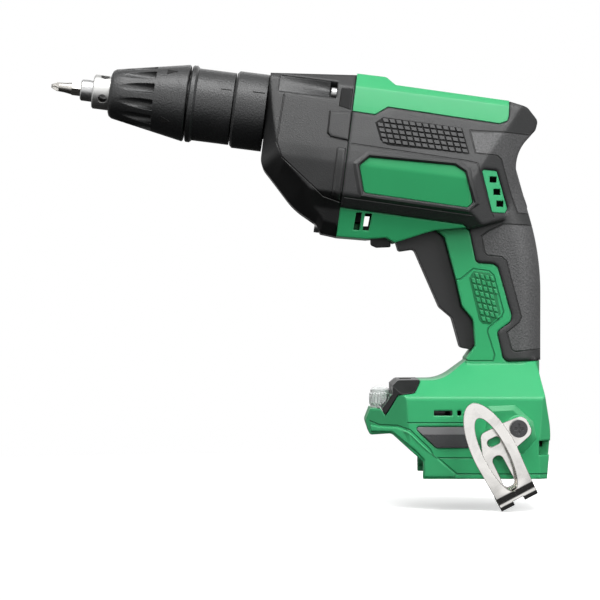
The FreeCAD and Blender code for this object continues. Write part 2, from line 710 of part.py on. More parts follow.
def make_housing():
    """Two green shells, split at the middle plane."""
    outer = envelope(0.0)
    recess = [prism(region, -REACH, REACH, -REGION_GAP) for region in (GRIP_REGION, CAP_REGION)]
    dressed = skin_layer(-RIB_THICK, SKIN + REGION_GAP).common(recess[0].fuse(recess[1]))
    shell = outer.cut(dressed).cut(cavity())
    inside = envelope(WALL - RIB_SINK)
    posts = [on_axis(rod(SEAM_X, SEAM_X + POST_LENGTH, POST_R, y, z)).common(inside)
             for y, z in cover_screw_places()]
    for side in (-1, 1):
        y0, y1 = sorted((side * (FOOT_HALF - HOOK_POST_DEPTH), side * (FOOT_HALF + HOOK_BOSS_PROUD)))
        posts.append(cross_rod(HOOK_X, HOOK_Z, HOOK_BOSS_R, y0, y1))
    cuts = [on_axis(rod(SEAM_X - 1, SEAM_X + POST_LENGTH + 1, COVER_SCREW_R + PRESS, y, z))
            for y, z in cover_screw_places()]
    cuts.append(block(-REACH, SEAT_REAR, -SEAT_HALF, SEAT_HALF, RAIL_HEIGHT, SEAT_DEPTH))
    cuts.append(block(-REACH, SEAT_REAR, RAIL_REACH - SEAT_HALF, SEAT_HALF - RAIL_REACH, -1, SEAT_DEPTH))
    cuts.append(block(BLOCK_FRONT - FIT, BLOCK_REAR + FIT, -BLOCK_HALF - FIT, BLOCK_HALF + FIT, 0,
                      SEAT_DEPTH + CEILING))
    cuts.append(prism(PANEL_REGION, -REACH, REACH, -REGION_GAP))
    cuts.append(prism(LENS_REGION, -REACH, REACH))
    room = trigger_form(TRIGGER_HALF + FIT, TRIGGER_ROOM)
    cuts += [turned_trigger(room, TRIGGER_TURN * step / TRIGGER_STEPS) for step in range(TRIGGER_STEPS + 1)]
    cuts.append(cross_rod(PIN_X, PIN_Z, PIN_R + PRESS, -PIN_HALF, PIN_HALF))
    swing = LEVER_HALF * math.sin(math.radians(LEVER_TURN)) + FIT
    slot_rear = max(LEVER_REAR + swing, TRIGGER_SIDE[0][0])
    tab_low = min(corner[1] for corner in LEVER_TAB)
    cuts.append(block(LEVER_FRONT - swing, slot_rear, -LEVER_SLOT, LEVER_SLOT, tab_low, LEVER_PIN_TOP))
    cuts.append(block(LEVER_PIVOT_X - LEVER_HALF - FIT, LEVER_REAR, -LEVER_HALF - 1, LEVER_HALF + 1,
                      LEVER_ARM_Z - LEVER_ARM_TALL - FIT, LEVER_PIN_TOP))
    cuts.append(upright(LEVER_PIVOT_X, LEVER_PIN_R + PRESS, LEVER_PIN_LOW, LEVER_PIN_TOP))
    cuts.append(block(LENS_X - LENS_R, LENS_X + LENS_R, -LENS_R, LENS_R, LED_Z, 40))
    for side in (-1, 1):
        cuts += vent_windows(side)
        y0, y1 = sorted((side * AIR_SLOT_IN, side * REACH))
        cuts += [prism(slot, y0, y1) for slot in AIR_SLOTS]
        y0, y1 = sorted((side * (FOOT_HALF - FOOT_SLOT_DEPTH), side * REACH))
        cuts += [block(x0, x1, y0, y1, FOOT_SLOT_Z - FOOT_SLOT_HALF, FOOT_SLOT_Z + FOOT_SLOT_HALF)
                 for x0, x1 in FOOT_SLOTS]
        y0, y1 = sorted((side * (FOOT_HALF - BUMPER_DEPTH - REGION_GAP), side * REACH))
        cuts.append(prism(BUMPER_REGION, y0, y1, -REGION_GAP))
        y0, y1 = sorted((side * (FOOT_HALF - STRAP_DEPTH), side * REACH))
        cuts.append(block(STRAP_X, STRAP_X + STRAP_WIDE, y0, y1, STRAP_Z, STRAP_Z + STRAP_TALL))
        y0, y1 = sorted((side * (FOOT_HALF - INSERT_HOLE_DEPTH), side * REACH))
        cuts.append(cross_rod(HOOK_X, HOOK_Z, INSERT_R + PRESS, y0, y1))
    cuts.append(plate_bed(-1))
    cuts.append(plate_bed(1))
    halves = {}
    for side, name in ((-1, "housing_left"), (1, "housing_right")):
        room = half_space(side)
        added = [post.common(inside) for post in screw_bosses(side)]
        half = shell.common(room).fuse([piece.common(room) for piece in ribs() + posts] + added)
        half = half.cut(cuts + screw_cuts(side))
        halves[name] = max(half.Solids, key=lambda solid: solid.Volume)
    return halves


def plate_bed(side):
    """Room for the side plate in the housing wall."""
    y0, y1 = sorted((0, side * REACH))
    return skin_layer(-RIB_THICK, SKIN + REGION_GAP).common(prism(PLATE_REGION, y0, y1, -REGION_GAP))


def make_skins():
    """Soft grip covers, side plates, vent inserts and the top cover."""
    pieces = {}
    grip = skin_layer(-SKIN_PROUD, SKIN).common(prism(GRIP_REGION, -REACH, REACH, REGION_GAP))
    seam = on_axis(block(-REACH, SEAM_X + REGION_GAP, -REACH, REACH, -REACH, REACH))
    grip = grip.cut(seam)
    plate = skin_layer(PLATE_SINK, SKIN)
    vent = skin_layer(-SKIN_PROUD / 2, SKIN)
    for side, word in ((-1, "left"), (1, "right")):
        y0, y1 = sorted((0, side * REACH))
        holes = [prism(region, y0, y1, -REGION_GAP) for region in (PLATE_REGION, VENT_REGION)]
        half = grip.common(half_space(side)).cut(holes + (screw_ways() if side > 0 else []))
        pieces["grip_cover_" + word] = max(half.Solids, key=lambda solid: solid.Volume)
        pieces["side_plate_" + word] = plate.common(prism(PLATE_REGION, y0, y1, REGION_GAP))
        insert = vent.common(prism(VENT_REGION, y0, y1, REGION_GAP))
        pieces["vent_insert_" + word] = insert.cut(vent_windows(side))
    cap = skin_layer(-CAP_PROUD, SKIN).common(prism(CAP_REGION, -REACH, REACH, REGION_GAP)).cut(seam)
    ways = [on_axis(rod(SEAM_X - 1, SEAM_X + POST_LENGTH, COVER_SCREW_R + SCREW_CLEAR, y, z))
            for y, z in cover_screw_places()]
    pieces["top_cover"] = cap.cut(screw_ways() + ways)
    return pieces


def make_nose():
    pieces = {}
    hex_start = BIT_PROFILE[-2][0]
    ends = [(TIP_X, 0)] + [(TIP_X + x, r) for x, r in BIT_PROFILE] + [(TIP_X + BIT_PROFILE[-1][0], 0)]
    bit = hexagon(TIP_X + hex_start, TIP_X + BIT_LENGTH, BIT_HEX).fuse(turned(ends))
    flute = block(TIP_X - 1, TIP_X + BIT_FLUTE, BIT_WEB, BIT_HEX, BIT_WEB, BIT_HEX)
    flute = flute.rotated(Vector(TIP_X + BIT_FLUTE, BIT_WEB, BIT_WEB), Vector(0, 1, -1), -BIT_FLUTE_LEAN)
    pieces["driver_bit"] = bit.cut(around(flute, 4))
    socket = hexagon(HOLDER_FRONT - 1, TIP_X + BIT_LENGTH + MAGNET_LENGTH, BIT_HEX + 2 * SLIDE_FIT)
    holder = turned([(HOLDER_FRONT, 0), (HOLDER_FRONT, HOLDER_R - EDGE), (HOLDER_FRONT + EDGE, HOLDER_R),
                     (HOLDER_REAR, HOLDER_R), (HOLDER_REAR, 0)])
    joint = rod(HOLDER_REAR - JOINT_LENGTH, HOLDER_REAR + 1, JOINT_R + PRESS)
    pieces["bit_holder"] = holder.cut([socket, joint])
    pieces["bit_magnet"] = rod(TIP_X + BIT_LENGTH, TIP_X + BIT_LENGTH + MAGNET_LENGTH, MAGNET_R)

    bore = LOCATOR_R - LOCATOR_WALL
    mouth = HOLDER_R + LOCATOR_LIP_GAP
    lip = LOCATOR_FRONT + LOCATOR_LIP
    locator = turned([(LOCATOR_FRONT, mouth), (LOCATOR_FRONT, LOCATOR_R - EDGE),
                      (LOCATOR_FRONT + EDGE, LOCATOR_R), (LOCATOR_REAR, LOCATOR_R), (LOCATOR_REAR, bore),
                      (lip, bore), (lip, mouth)])
    hole = upright(LOCATOR_FRONT + DUST_HOLE_X, DUST_HOLE_R, 0, 2 * LOCATOR_R)
    pieces["locator_sleeve"] = locator.cut(around(hole, 4, DUST_HOLE_TURN))

    slope = (CONE_REAR_R - CONE_FRONT_R) / (CONE_REAR - CONE_FRONT)
    cone = turned([(CONE_FRONT, LOCATOR_R + FIT), (CONE_FRONT, CONE_FRONT_R - CONE_NOSE),
                   (CONE_FRONT + EDGE, CONE_FRONT_R - EDGE),
                   (CONE_FRONT + CONE_NOSE, CONE_FRONT_R + CONE_NOSE * slope),
                   (CONE_REAR - EDGE, CONE_REAR_R), (CONE_REAR, CONE_REAR_R - EDGE),
                   (CONE_REAR, GUIDE_R + FIT), (GUIDE_FRONT - FIT, GUIDE_R + FIT),
                   (GUIDE_FRONT - FIT, LOCATOR_R + FIT)])
    flute = rod(CONE_FRONT + FLUTE_START, FLUTE_REAR, FLUTE_R, 0, FLUTE_FLOOR_R + FLUTE_R)
    pieces["depth_adjuster"] = cone.cut(around(flute, FLUTE_COUNT, 180.0 / FLUTE_COUNT))
    pieces["stop_ring"] = turned([(RING_FRONT, GUIDE_R + PRESS), (RING_FRONT, CONE_REAR_R - EDGE),
                                  (RING_FRONT + EDGE, CONE_REAR_R),
                                  (RING_REAR - CONE_REAR_R + NOSE_R, CONE_REAR_R),
                                  (RING_REAR, NOSE_R), (RING_REAR, GUIDE_R + PRESS)])
    pieces["nose_barrel"] = turned([(GUIDE_FRONT, LOCATOR_R + FIT), (GUIDE_FRONT, GUIDE_R),
                                    (RING_REAR, GUIDE_R), (RING_REAR, NOSE_R), (NOSE_REAR, NOSE_R),
                                    (NOSE_REAR, NECK_R + FIT), (NECK_FRONT - FIT, NECK_R + FIT),
                                    (NECK_FRONT - FIT, LOCATOR_R + FIT)])
    pieces["neck_collar"] = turned([(COLLAR_FRONT, NECK_R + PRESS), (COLLAR_FRONT, NOSE_R),
                                    (COLLAR_FRONT + COLLAR_R - NOSE_R, COLLAR_R), (COLLAR_REAR, COLLAR_R),
                                    (COLLAR_REAR, NECK_R + PRESS)])
    pieces["nose_o_ring"] = groove_ring(O_RING_HALF, O_RING_DEPTH, FIT - O_RING_GAP)
    return pieces


def groove_ring(half, depth, proud):
    """Ring at the neck's groove that reaches below and above the neck's surface."""
    return turned([(O_RING_X - half, NECK_R - depth), (O_RING_X - half, NECK_R + proud),
                   (O_RING_X + half, NECK_R + proud), (O_RING_X + half, NECK_R - depth)])


def make_drive():
    """Spindle, clutch, gears and motor in the axis frame."""
    pieces = {}
    dog = turned([(DOG_X - DOG_ROOT, DOG_INNER), (DOG_X - DOG_ROOT, FLANGE_R),
                  (DOG_X + DOG_HEIGHT, FLANGE_R), (DOG_X + DOG_HEIGHT, DOG_INNER)])
    spindle = turned([(HOLDER_REAR - JOINT_LENGTH, 0), (HOLDER_REAR - JOINT_LENGTH, JOINT_R),
                      (HOLDER_REAR, JOINT_R), (HOLDER_REAR, SPINDLE_R), (FLANGE_X, SPINDLE_R),
                      (FLANGE_X, FLANGE_R), (DOG_X, FLANGE_R), (DOG_X, TAIL_R), (TAIL_REAR, TAIL_R),
                      (TAIL_REAR, 0)])
    pieces["spindle"] = spindle.fuse(sectors(dog, 0))
    pieces["thrust_washer"] = sleeve(FLANGE_X - WASHER_THICK - WASHER_GAP, FLANGE_X - WASHER_GAP,
                                     SPINDLE_R + WASHER_GAP, WASHER_R)
    pieces["spindle_bush"] = sleeve(BUSH_REAR - BUSH_LENGTH, BUSH_REAR, SPINDLE_R + SLIDE_FIT, BUSH_R)
    pieces["clutch_spring"] = sleeve(DOG_X + SPRING_GAP, GEAR_X + POCKET_DEPTH - SPRING_GAP,
                                     SPRING_R - SPRING_WIRE, SPRING_R)
    gear = gear_face(GEAR_TEETH, GEAR_X, GEAR_WIDTH, 0, 0)
    gear = gear.fuse(rod(GEAR_X + GEAR_WIDTH, PLATE_X + PLATE_THICK, GEAR_HUB_R))
    gear_dog = dog.translated(Vector(GEAR_X - DOG_X - DOG_HEIGHT + DOG_ROOT, 0, 0))
    gear = gear.fuse(sectors(gear_dog, 180.0 / DOG_COUNT))
    gear = gear.cut([rod(0, GEAR_X + POCKET_DEPTH, SPRING_R + FIT),
                     rod(0, TAIL_REAR + PUSH_TRAVEL + 1, TAIL_R + SLIDE_FIT)])
    pieces["drive_gear"] = gear
    pieces["gear_bearing"] = bearing(BEARING_X, GEAR_HUB_R, 0)
    pieces["motor_front_bearing"] = bearing(BEARING_X, SHAFT_R, MOTOR_DROP)
    pieces["motor_rear_bearing"] = bearing(REAR_BEARING_X, SHAFT_R, MOTOR_DROP)
    pinion_x = GEAR_X + PINION_STEP
    pinion = gear_face(PINION_TEETH, pinion_x, GEAR_WIDTH - PINION_STEP, MOTOR_DROP, 180.0 / PINION_TEETH)
    shaft = rod(pinion_x, REAR_BEARING_X + BEARING_WIDTH, SHAFT_R, 0, -MOTOR_DROP)
    pieces["motor_shaft"] = pinion.fuse(shaft)
    stator_end = STATOR_X + STATOR_LENGTH
    pieces["rotor_core"] = ring(STATOR_X + 1, stator_end - 1, SHAFT_R + PRESS, ROTOR_R)
    blade = block(FAN_X + FAN_DISC, FAN_X + FAN_WIDTH, -BLADE_HALF, BLADE_HALF, FAN_HUB_R - 1, FAN_R)
    blades = around(blade.rotated(Vector(FAN_X, 0, FAN_HUB_R), Vector(1, 0, 0), BLADE_LEAN), FAN_BLADES)
    fan = turned([(FAN_X, SHAFT_R + PRESS), (FAN_X, FAN_R), (FAN_X + FAN_DISC, FAN_R),
                  (FAN_X + FAN_DISC, FAN_HUB_R), (FAN_X + FAN_WIDTH, FAN_HUB_R),
                  (FAN_X + FAN_WIDTH, SHAFT_R + PRESS)])
    fan = fan.fuse(blades).common(rod(FAN_X, FAN_X + FAN_WIDTH, FAN_R))
    pieces["cooling_fan"] = fan.translated(Vector(0, 0, -MOTOR_DROP))
    yoke = sleeve(STATOR_X, stator_end, STATOR_R - YOKE, STATOR_R - PRESS)
    tooth = block(STATOR_X, stator_end, -TOOTH_HALF, TOOTH_HALF, 0, STATOR_R - YOKE / 2)
    stator = yoke.fuse(around(tooth, COIL_COUNT)).cut(rod(0, 200, ROTOR_R + AIR_GAP))
    pieces["stator_core"] = stator.translated(Vector(0, 0, -MOTOR_DROP))
    wound = block(STATOR_X - COIL_END, stator_end + COIL_END, -TOOTH_HALF - COIL_THICK,
                  TOOTH_HALF + COIL_THICK, ROTOR_R + COIL_FRONT, STATOR_R - YOKE - COIL_BACK)
    core = block(STATOR_X - COIL_FIT, stator_end + COIL_FIT, -TOOTH_HALF - COIL_FIT, TOOTH_HALF + COIL_FIT,
                 0, REACH)
    coils = [coil.translated(Vector(0, 0, -MOTOR_DROP)) for coil in around(wound.cut(core), COIL_COUNT)]
    pieces["stator_coils"] = Part.makeCompound(coils)
    board_x = stator_end + COIL_END
    pieces["sensor_board"] = ring(board_x, board_x + SENSOR_THICK, BEARING_R, STATOR_R - YOKE)
    plate = rod(PLATE_X, PLATE_X + PLATE_THICK, INNER_PLATE_R)
    plate = plate.fuse(rod(PLATE_X, PLATE_X + PLATE_THICK, PLATE_LOBE_R, 0, -MOTOR_DROP))
    for drop, hub in ((0, GEAR_HUB_R), (MOTOR_DROP, SHAFT_R)):
        plate = plate.cut([rod(0, BEARING_X + BEARING_WIDTH, BEARING_R + PRESS, 0, -drop),
                           rod(0, REACH, hub + PLATE_HOLE, 0, -drop)])
    pieces["inner_plate"] = plate
    return pieces


def ring(x0, x1, inner, outer):
    """Ring about the motor axis."""
    return sleeve(x0, x1, inner, outer, MOTOR_DROP)


def sleeve(x0, x1, inner, outer, drop=0.0):
    """Plain ring of one inner and one outer radius."""
    return turned([(x0, inner), (x0, outer), (x1, outer), (x1, inner)], drop)


def sectors(dog, start):
    """Clutch dogs cut from a ring."""
    wedge_half = math.radians(DOG_ANGLE / 2)
    side = REACH * math.sin(wedge_half)
    up = REACH * math.cos(wedge_half)
    points = [Vector(-REACH, 0, 0), Vector(-REACH, side, up), Vector(-REACH, -side, up)]
    wedge = Part.Face(Part.makePolygon(points + points[:1])).extrude(Vector(2 * REACH, 0, 0))
    return [dog.common(part) for part in around(wedge, DOG_COUNT, start)]


def bearing(x, hub, drop):
    """Shielded ball bearing as one ring with sunk shields."""
    inner = hub + BEARING_RACE
    outer = BEARING_R - BEARING_RACE
    front = x + SHIELD_SINK
    end = x + BEARING_WIDTH
    back = end - SHIELD_SINK
    return turned([(x, hub + PRESS), (x, inner), (front, inner), (front, outer), (x, outer), (x, BEARING_R),
                   (end, BEARING_R), (end, outer), (back, outer), (back, inner), (end, inner),
                   (end, hub + PRESS)], drop)


def make_cover():
    """Gear cover with its neck, gear room, screw channels and the four screws."""
    body = cover_form()
    neck = rod(NECK_FRONT, FLANGE_THICK, NECK_R)
    groove = groove_ring(O_RING_HALF + O_RING_GAP, O_RING_DEPTH + O_RING_GAP, 1)
    room = [rod(NECK_FRONT - 1, PLATE_X, SPINDLE_R + SPINDLE_CLEAR),
            rod(BUSH_REAR - BUSH_LENGTH, BUSH_REAR + 1, BUSH_R + PRESS),
            rod(BUSH_REAR, PLATE_X, FLANGE_R + GEAR_CLEAR), rod(GEAR_X - GEAR_CLEAR, PLATE_X, GEAR_ROOM_R),
            rod(GEAR_X - GEAR_CLEAR, PLATE_X, PINION_ROOM_R, 0, -MOTOR_DROP),
            rod(PLATE_X, PLATE_X + PLATE_THICK, INNER_PLATE_R + PRESS),
            rod(PLATE_X, PLATE_X + PLATE_THICK, PLATE_LOBE_R + PRESS, 0, -MOTOR_DROP)]
    rear = bar(BODY_SECTION, PLATE_X + PLATE_THICK, 60, WALL).common(
        block(PLATE_X + PLATE_THICK, 60, -60, 60, -COVER_ROOM_LOW, COVER_ROOM_HIGH))
    channels = []
    for side in (-1, 1):
        floor = [Vector(CHANNEL_FRONT, -CHANNEL_WIDE / 2, CHANNEL_FRONT_R),
                 Vector(FLANGE_FACE, -CHANNEL_WIDE / 2, CHANNEL_REAR_R),
                 Vector(FLANGE_FACE, -CHANNEL_WIDE / 2, REACH), Vector(CHANNEL_FRONT, -CHANNEL_WIDE / 2, REACH)]
        wedge = Part.Face(Part.makePolygon(floor + floor[:1])).extrude(Vector(0, CHANNEL_WIDE, 0))
        lean = math.degrees(math.atan2(UPPER_SCREW_Y, UPPER_SCREW_Z))
        channels.append(wedge.rotated(Vector(0, 0, 0), Vector(1, 0, 0), -side * lean))
        way = COVER_HEAD_R + SCREW_CLEAR
        channels.append(rod(PLATE_X + PLATE_THICK, FLANGE_FACE, way, side * UPPER_SCREW_Y, UPPER_SCREW_Z))
        channels.append(rod(LOWER_CHANNEL_X, FLANGE_FACE, way, side * LOWER_SCREW_Y, LOWER_SCREW_Z))
    shank_ways = [rod(FLANGE_FACE - 1, SEAM_X + 1, COVER_SCREW_R + SCREW_CLEAR, y, z)
                  for y, z in cover_screw_places()]
    cover = body.fuse(neck).cut(room + [rear, groove] + channels + shank_ways)
    screws = []
    for y, z in cover_screw_places():
        head = rod(FLANGE_FACE - SCREW_HEAD, FLANGE_FACE, COVER_HEAD_R, y, z)
        socket = hexagon(-1, SOCKET_DEPTH, SOCKET_ACROSS)
        head = head.cut(socket.translated(Vector(FLANGE_FACE - SCREW_HEAD, y, z)))
        screws.append(head.fuse(rod(FLANGE_FACE, SEAM_X + POST_LENGTH - 1, COVER_SCREW_R, y, z)))
    body = max(cover.Solids, key=lambda solid: solid.Volume)
    return {"gear_cover": body, "gear_cover_screws": Part.makeCompound(screws)}


def make_controls():
    """Trigger, switch and reverse lever."""
    pieces = {}
    pin_hole = cross_rod(PIN_X, PIN_Z, PIN_R + SLIDE_FIT, -REACH, REACH)
    pieces["trigger"] = trigger_form(TRIGGER_HALF, 0).cut(pin_hole)
    pieces["trigger_pin"] = cross_rod(PIN_X, PIN_Z, PIN_R, -PIN_HALF, PIN_HALF)
    body = block(SWITCH_FRONT, SWITCH_REAR, -SWITCH_HALF, SWITCH_HALF, SWITCH_LOW, SWITCH_HIGH)
    way = lengthwise(SWITCH_FRONT - 1, SWITCH_FRONT + PLUNGER_WAY, PLUNGER_R + SLIDE_FIT)
    pieces["switch_body"] = body.cut(way)
    pieces["switch_plunger"] = lengthwise(PLUNGER_FRONT, PLUNGER_FRONT + PLUNGER_LENGTH, PLUNGER_R)
    inner = PLUNGER_R + COIL_CLEAR
    coil = lengthwise(PLUNGER_FRONT + FIT, SWITCH_FRONT - FIT, inner + COIL_WALL)
    pieces["trigger_spring"] = coil.cut(lengthwise(PLUNGER_FRONT, SWITCH_FRONT, inner))
    arm_low = LEVER_ARM_Z - LEVER_ARM_TALL
    arm = block(LEVER_PIVOT_X, LEVER_FRONT + 1, -LEVER_HALF, LEVER_HALF, arm_low, LEVER_ARM_Z)
    eye = upright(LEVER_PIVOT_X, LEVER_HALF, arm_low, LEVER_ARM_Z)
    tab = prism(LEVER_TAB, -LEVER_HALF, LEVER_HALF)
    hole = upright(LEVER_PIVOT_X, LEVER_PIN_R + SLIDE_FIT, LEVER_PIN_LOW, LEVER_PIN_TOP)
    pieces["reverse_lever"] = arm.fuse([eye, tab]).cut(hole)
    pieces["lever_pin"] = upright(LEVER_PIVOT_X, LEVER_PIN_R, LEVER_PIN_LOW, LEVER_PIN_TOP)
    return pieces


def make_foot_pieces():
    """Controller, battery terminals, lamp, control panel, bumpers and the belt hook."""
    pieces = {}
    floor = SEAT_DEPTH + CEILING
    base = block(BLOCK_FRONT, BLOCK_REAR, -BLOCK_HALF, BLOCK_HALF, BLADE_LOW, floor)
    flange = block(BLOCK_FRONT - BLOCK_LIP, BLOCK_REAR + BLOCK_LIP, -BLOCK_HALF - BLOCK_LIP,
                   BLOCK_HALF + BLOCK_LIP, floor, BOARD_LOW)
    pieces["terminal_block"] = base.fuse(flange)
    blades = [block(BLOCK_FRONT - BLADE_LENGTH, BLOCK_FRONT, y - BLADE_THICK / 2, y + BLADE_THICK / 2,
                    BLADE_LOW, BLADE_TOP) for y in BLADE_PLACES]
    pieces["terminal_blades"] = Part.makeCompound(blades)
    pieces["controller_module"] = block(BOARD_FRONT, BOARD_REAR, -BOARD_HALF, BOARD_HALF, BOARD_LOW,
                                        BOARD_LOW + BOARD_TALL)
    panel = foot(-PANEL_PROUD).common(prism(PANEL_REGION, -REACH, REACH, REGION_GAP))
    pieces["control_panel"] = panel.cut(upright(BUTTON_X, BUTTON_R + FIT, BUTTON_FLOOR, REACH))
    line = Part.makeLine(Vector(BUTTON_X, 0, 0), Vector(BUTTON_X, 0, REACH))
    top = foot(0).common(line).BoundBox.ZMax
    button_low = BUTTON_FLOOR + BUTTON_TRAVEL + FIT
    pieces["mode_button"] = upright(BUTTON_X, BUTTON_R, button_low, top + BUTTON_PROUD)
    low = LED_Z + LED_TALL
    dome_r = LENS_R * DOME_SHARE
    dome = Part.makeSphere(dome_r, Vector(LENS_X, 0, LENS_TOP - dome_r))
    lens = dome.fuse(upright(LENS_X, LENS_R, low, LENS_TOP - DOME_RIM))
    behind = prism(PANEL_REGION, -REACH, REACH, -REGION_GAP).fuse(block(-49, -30, -REACH, REACH, 20, 40.8))
    pieces["led_lens"] = upright(LENS_X, LENS_R, low, LENS_TOP).common(lens).cut(behind)
    pieces["led_board"] = block(LENS_X - LENS_R + LED_EDGE, LED_BACK_X, -LENS_R + LED_EDGE,
                                LENS_R - LED_EDGE, LED_Z, low)
    for side, word in ((-1, "left"), (1, "right")):
        y0, y1 = sorted((side * (FOOT_HALF - BUMPER_DEPTH), side * (FOOT_HALF + BUMPER_PROUD)))
        pieces["foot_bumper_" + word] = prism(BUMPER_REGION, y0, y1, REGION_GAP)
    inserts = []
    for side in (-1, 1):
        y0, y1 = sorted((side * (FOOT_HALF - INSERT_DEPTH), side * (FOOT_HALF + HOOK_BOSS_PROUD)))
        bush = cross_rod(HOOK_X, HOOK_Z, INSERT_R, y0, y1)
        inserts.append(bush.cut(cross_rod(HOOK_X, HOOK_Z, HOOK_SCREW_R + PRESS, y0 - 1, y1 + 1)))
    pieces["hook_inserts"] = Part.makeCompound(inserts)
    return pieces


def hook_point(a, b):
    """World (x, z) of a place on the hook: a along its slope from the top, b across it."""
    lean = math.radians(HOOK_LEAN)
    return (HOOK_TOP_X + a * math.sin(lean) + b * math.cos(lean),
            HOOK_TOP_Z - a * math.cos(lean) + b * math.sin(lean))


def make_hook():
    """Bent strip belt hook with its screw."""
    back = -(FOOT_HALF + HOOK_BOSS_PROUD)
    front = back - HOOK_GAP - HOOK_THICK
    half_long = HOOK_LOOP_LENGTH / 2
    loop = hook_oval(half_long, half_long, HOOK_LOOP_HALF, front)
    lower = hook_plate([(half_long, -HOOK_LOOP_HALF), (half_long, HOOK_LOOP_HALF),
                        (HOOK_BEND, HOOK_STRAP_HALF), (HOOK_BEND, -HOOK_STRAP_HALF)], front)
    kept = hook_block(-HOOK_THICK, HOOK_BEND, -HOOK_LOOP_LENGTH, HOOK_LOOP_LENGTH, -REACH, 0)
    lower = lower.fuse(loop).common(kept)
    ring_plate = lower.cut(hook_oval(HOOK_HOLE_A, HOOK_HOLE_LONG, HOOK_HOLE_HALF, front))
    rear = hook_plate(HOOK_BACK, back).cut([hook_plate(HOOK_SLOT, back), hook_plate(HOOK_UPPER_SLOT, back)])
    rear = rear.cut(cross_rod(HOOK_X, HOOK_Z, HOOK_SCREW_R + SCREW_CLEAR, -REACH, 0))
    start = hook_point(HOOK_BEND, -HOOK_STRAP_HALF)
    across = Vector(math.cos(math.radians(HOOK_LEAN)), 0, math.sin(math.radians(HOOK_LEAN)))
    centre = Vector(start[0], back - HOOK_THICK - HOOK_GAP / 2, start[1])
    tube = Part.makeCylinder(HOOK_GAP / 2 + HOOK_THICK, 2 * HOOK_STRAP_HALF, centre, across)
    tube = tube.cut(Part.makeCylinder(HOOK_GAP / 2, 2 * HOOK_STRAP_HALF, centre, across))
    below = hook_block(HOOK_BEND, HOOK_BEND + HOOK_GAP, -HOOK_LOOP_LENGTH, HOOK_LOOP_LENGTH, -REACH, 0)
    low = HOOK_BEND + HOOK_GAP / 2 + HOOK_THICK
    notch = hook_block(low - HOOK_NOTCH_TALL, low + 1, -HOOK_NOTCH_HALF, HOOK_NOTCH_HALF, -REACH, 0)
    bend = tube.common(below).cut(notch)
    hook = ring_plate.fuse([rear, bend]).removeSplitter()
    seat = back - HOOK_THICK
    face = seat - HOOK_HEAD
    screw = cross_rod(HOOK_X, HOOK_Z, HOOK_HEAD_R, face, seat)
    screw = screw.fuse(cross_rod(HOOK_X, HOOK_Z, HOOK_SCREW_R, seat, HOOK_SCREW_DEPTH - FOOT_HALF))
    slot = block(HOOK_X - CROSS_HALF, HOOK_X + CROSS_HALF, face - 1, face + CROSS_DEEP,
                 HOOK_Z - CROSS_LONG, HOOK_Z + CROSS_LONG)
    cross = slot.fuse(slot.rotated(Vector(HOOK_X, 0, HOOK_Z), Vector(0, 1, 0), 90))
    return {"belt_hook": hook, "hook_screw": screw.cut(cross)}


def hook_plate(points, y):
    """Flat piece of the hook strip with its outer face at y, drawn in slope coordinates."""
    world = [hook_point(p[0], p[1]) + tuple(p[2:]) for p in points]
    return prism(world, y - HOOK_THICK, y)


def hook_oval(centre_a, half_long, half_wide, y):
    lean = math.radians(HOOK_LEAN)
    x, z = hook_point(centre_a, 0)
    axis = Vector(math.sin(lean), 0, -math.cos(lean))
    side = Vector(0, 1, 0).cross(axis)
    centre = Vector(x, y, z)
    ellipse = Part.Ellipse(centre + axis * half_long, centre + side * half_wide, centre)
    face = Part.Face(Part.Wire(ellipse.toShape()))
    return face.extrude(Vector(0, -HOOK_THICK, 0))


def hook_block(a0, a1, b0, b1, y0, y1):
    return prism([hook_point(a0, b0), hook_point(a0, b1), hook_point(a1, b1), hook_point(a1, b0)], y0, y1)


def make_screws_and_leads():
    pieces = {}
    screws = []
    for x, z in SCREW_PLACES:
        head = cross_rod(x, z, SCREW_HEAD_R, SCREW_SEAT, SCREW_SEAT + SCREW_HEAD)
        socket = hexagon(0, SCREW_HEAD, SOCKET_ACROSS).rotated(Vector(0, 0, 0), Vector(0, 0, 1), 90)
        head = head.cut(socket.translated(Vector(x, SCREW_SEAT + SCREW_HEAD - SOCKET_DEPTH, z)))
        screws.append(head.fuse(cross_rod(x, z, SCREW_R, SCREW_SEAT - SCREW_LENGTH, SCREW_SEAT)))
    pieces["housing_screws"] = Part.makeCompound(screws)
    leads = []
    for y in (-LEAD_STEP, 0, LEAD_STEP):
        board_x = STATOR_X + STATOR_LENGTH + COIL_END + SENSOR_THICK
        x, z = axis_point(board_x, -MOTOR_DROP - LEAD_DROP)
        route = [Vector(x, y, z), Vector(x + 12, y, z - 1.5), Vector(LEAD_REAR_X, y, 124),
                 Vector(LEAD_REAR_X, y, 66), Vector(9, y, 48), Vector(9, y, BOARD_LOW + BOARD_TALL)]
        leads.append(tube_path(route, LEAD_BEND, LEAD_R))
    pieces["motor_leads"] = Part.makeCompound(leads)
    supply = []
    for y in (-SUPPLY_Y, SUPPLY_Y):
        route = [Vector(-1, y, BOARD_LOW + BOARD_TALL), Vector(-1, y, 57), Vector(11.6, y, 71),
                 Vector(11.6, y, SWITCH_LOW)]
        supply.append(tube_path(route, LEAD_BEND, LEAD_R))
    pieces["battery_leads"] = Part.makeCompound(supply)
    return pieces


parts = {}
parts.update(make_housing())
parts.update(make_skins())
for group in (make_nose(), make_drive(), make_cover()):
    parts.update({name: on_axis(shape) for name, shape in group.items()})
parts.update(make_controls())
parts.update(make_foot_pieces())
parts.update(make_hook())
parts.update(make_screws_and_leads())

os.makedirs("parts", exist_ok=True)
for name, shape in parts.items():
    solids = shape.Solids
    print(name, len(solids), shape.isValid(), round(shape.Volume))
    kept = solids[0] if len(solids) == 1 else Part.makeCompound(solids)
    kept.exportStep("parts/" + name + ".step")
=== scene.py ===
import json
import math

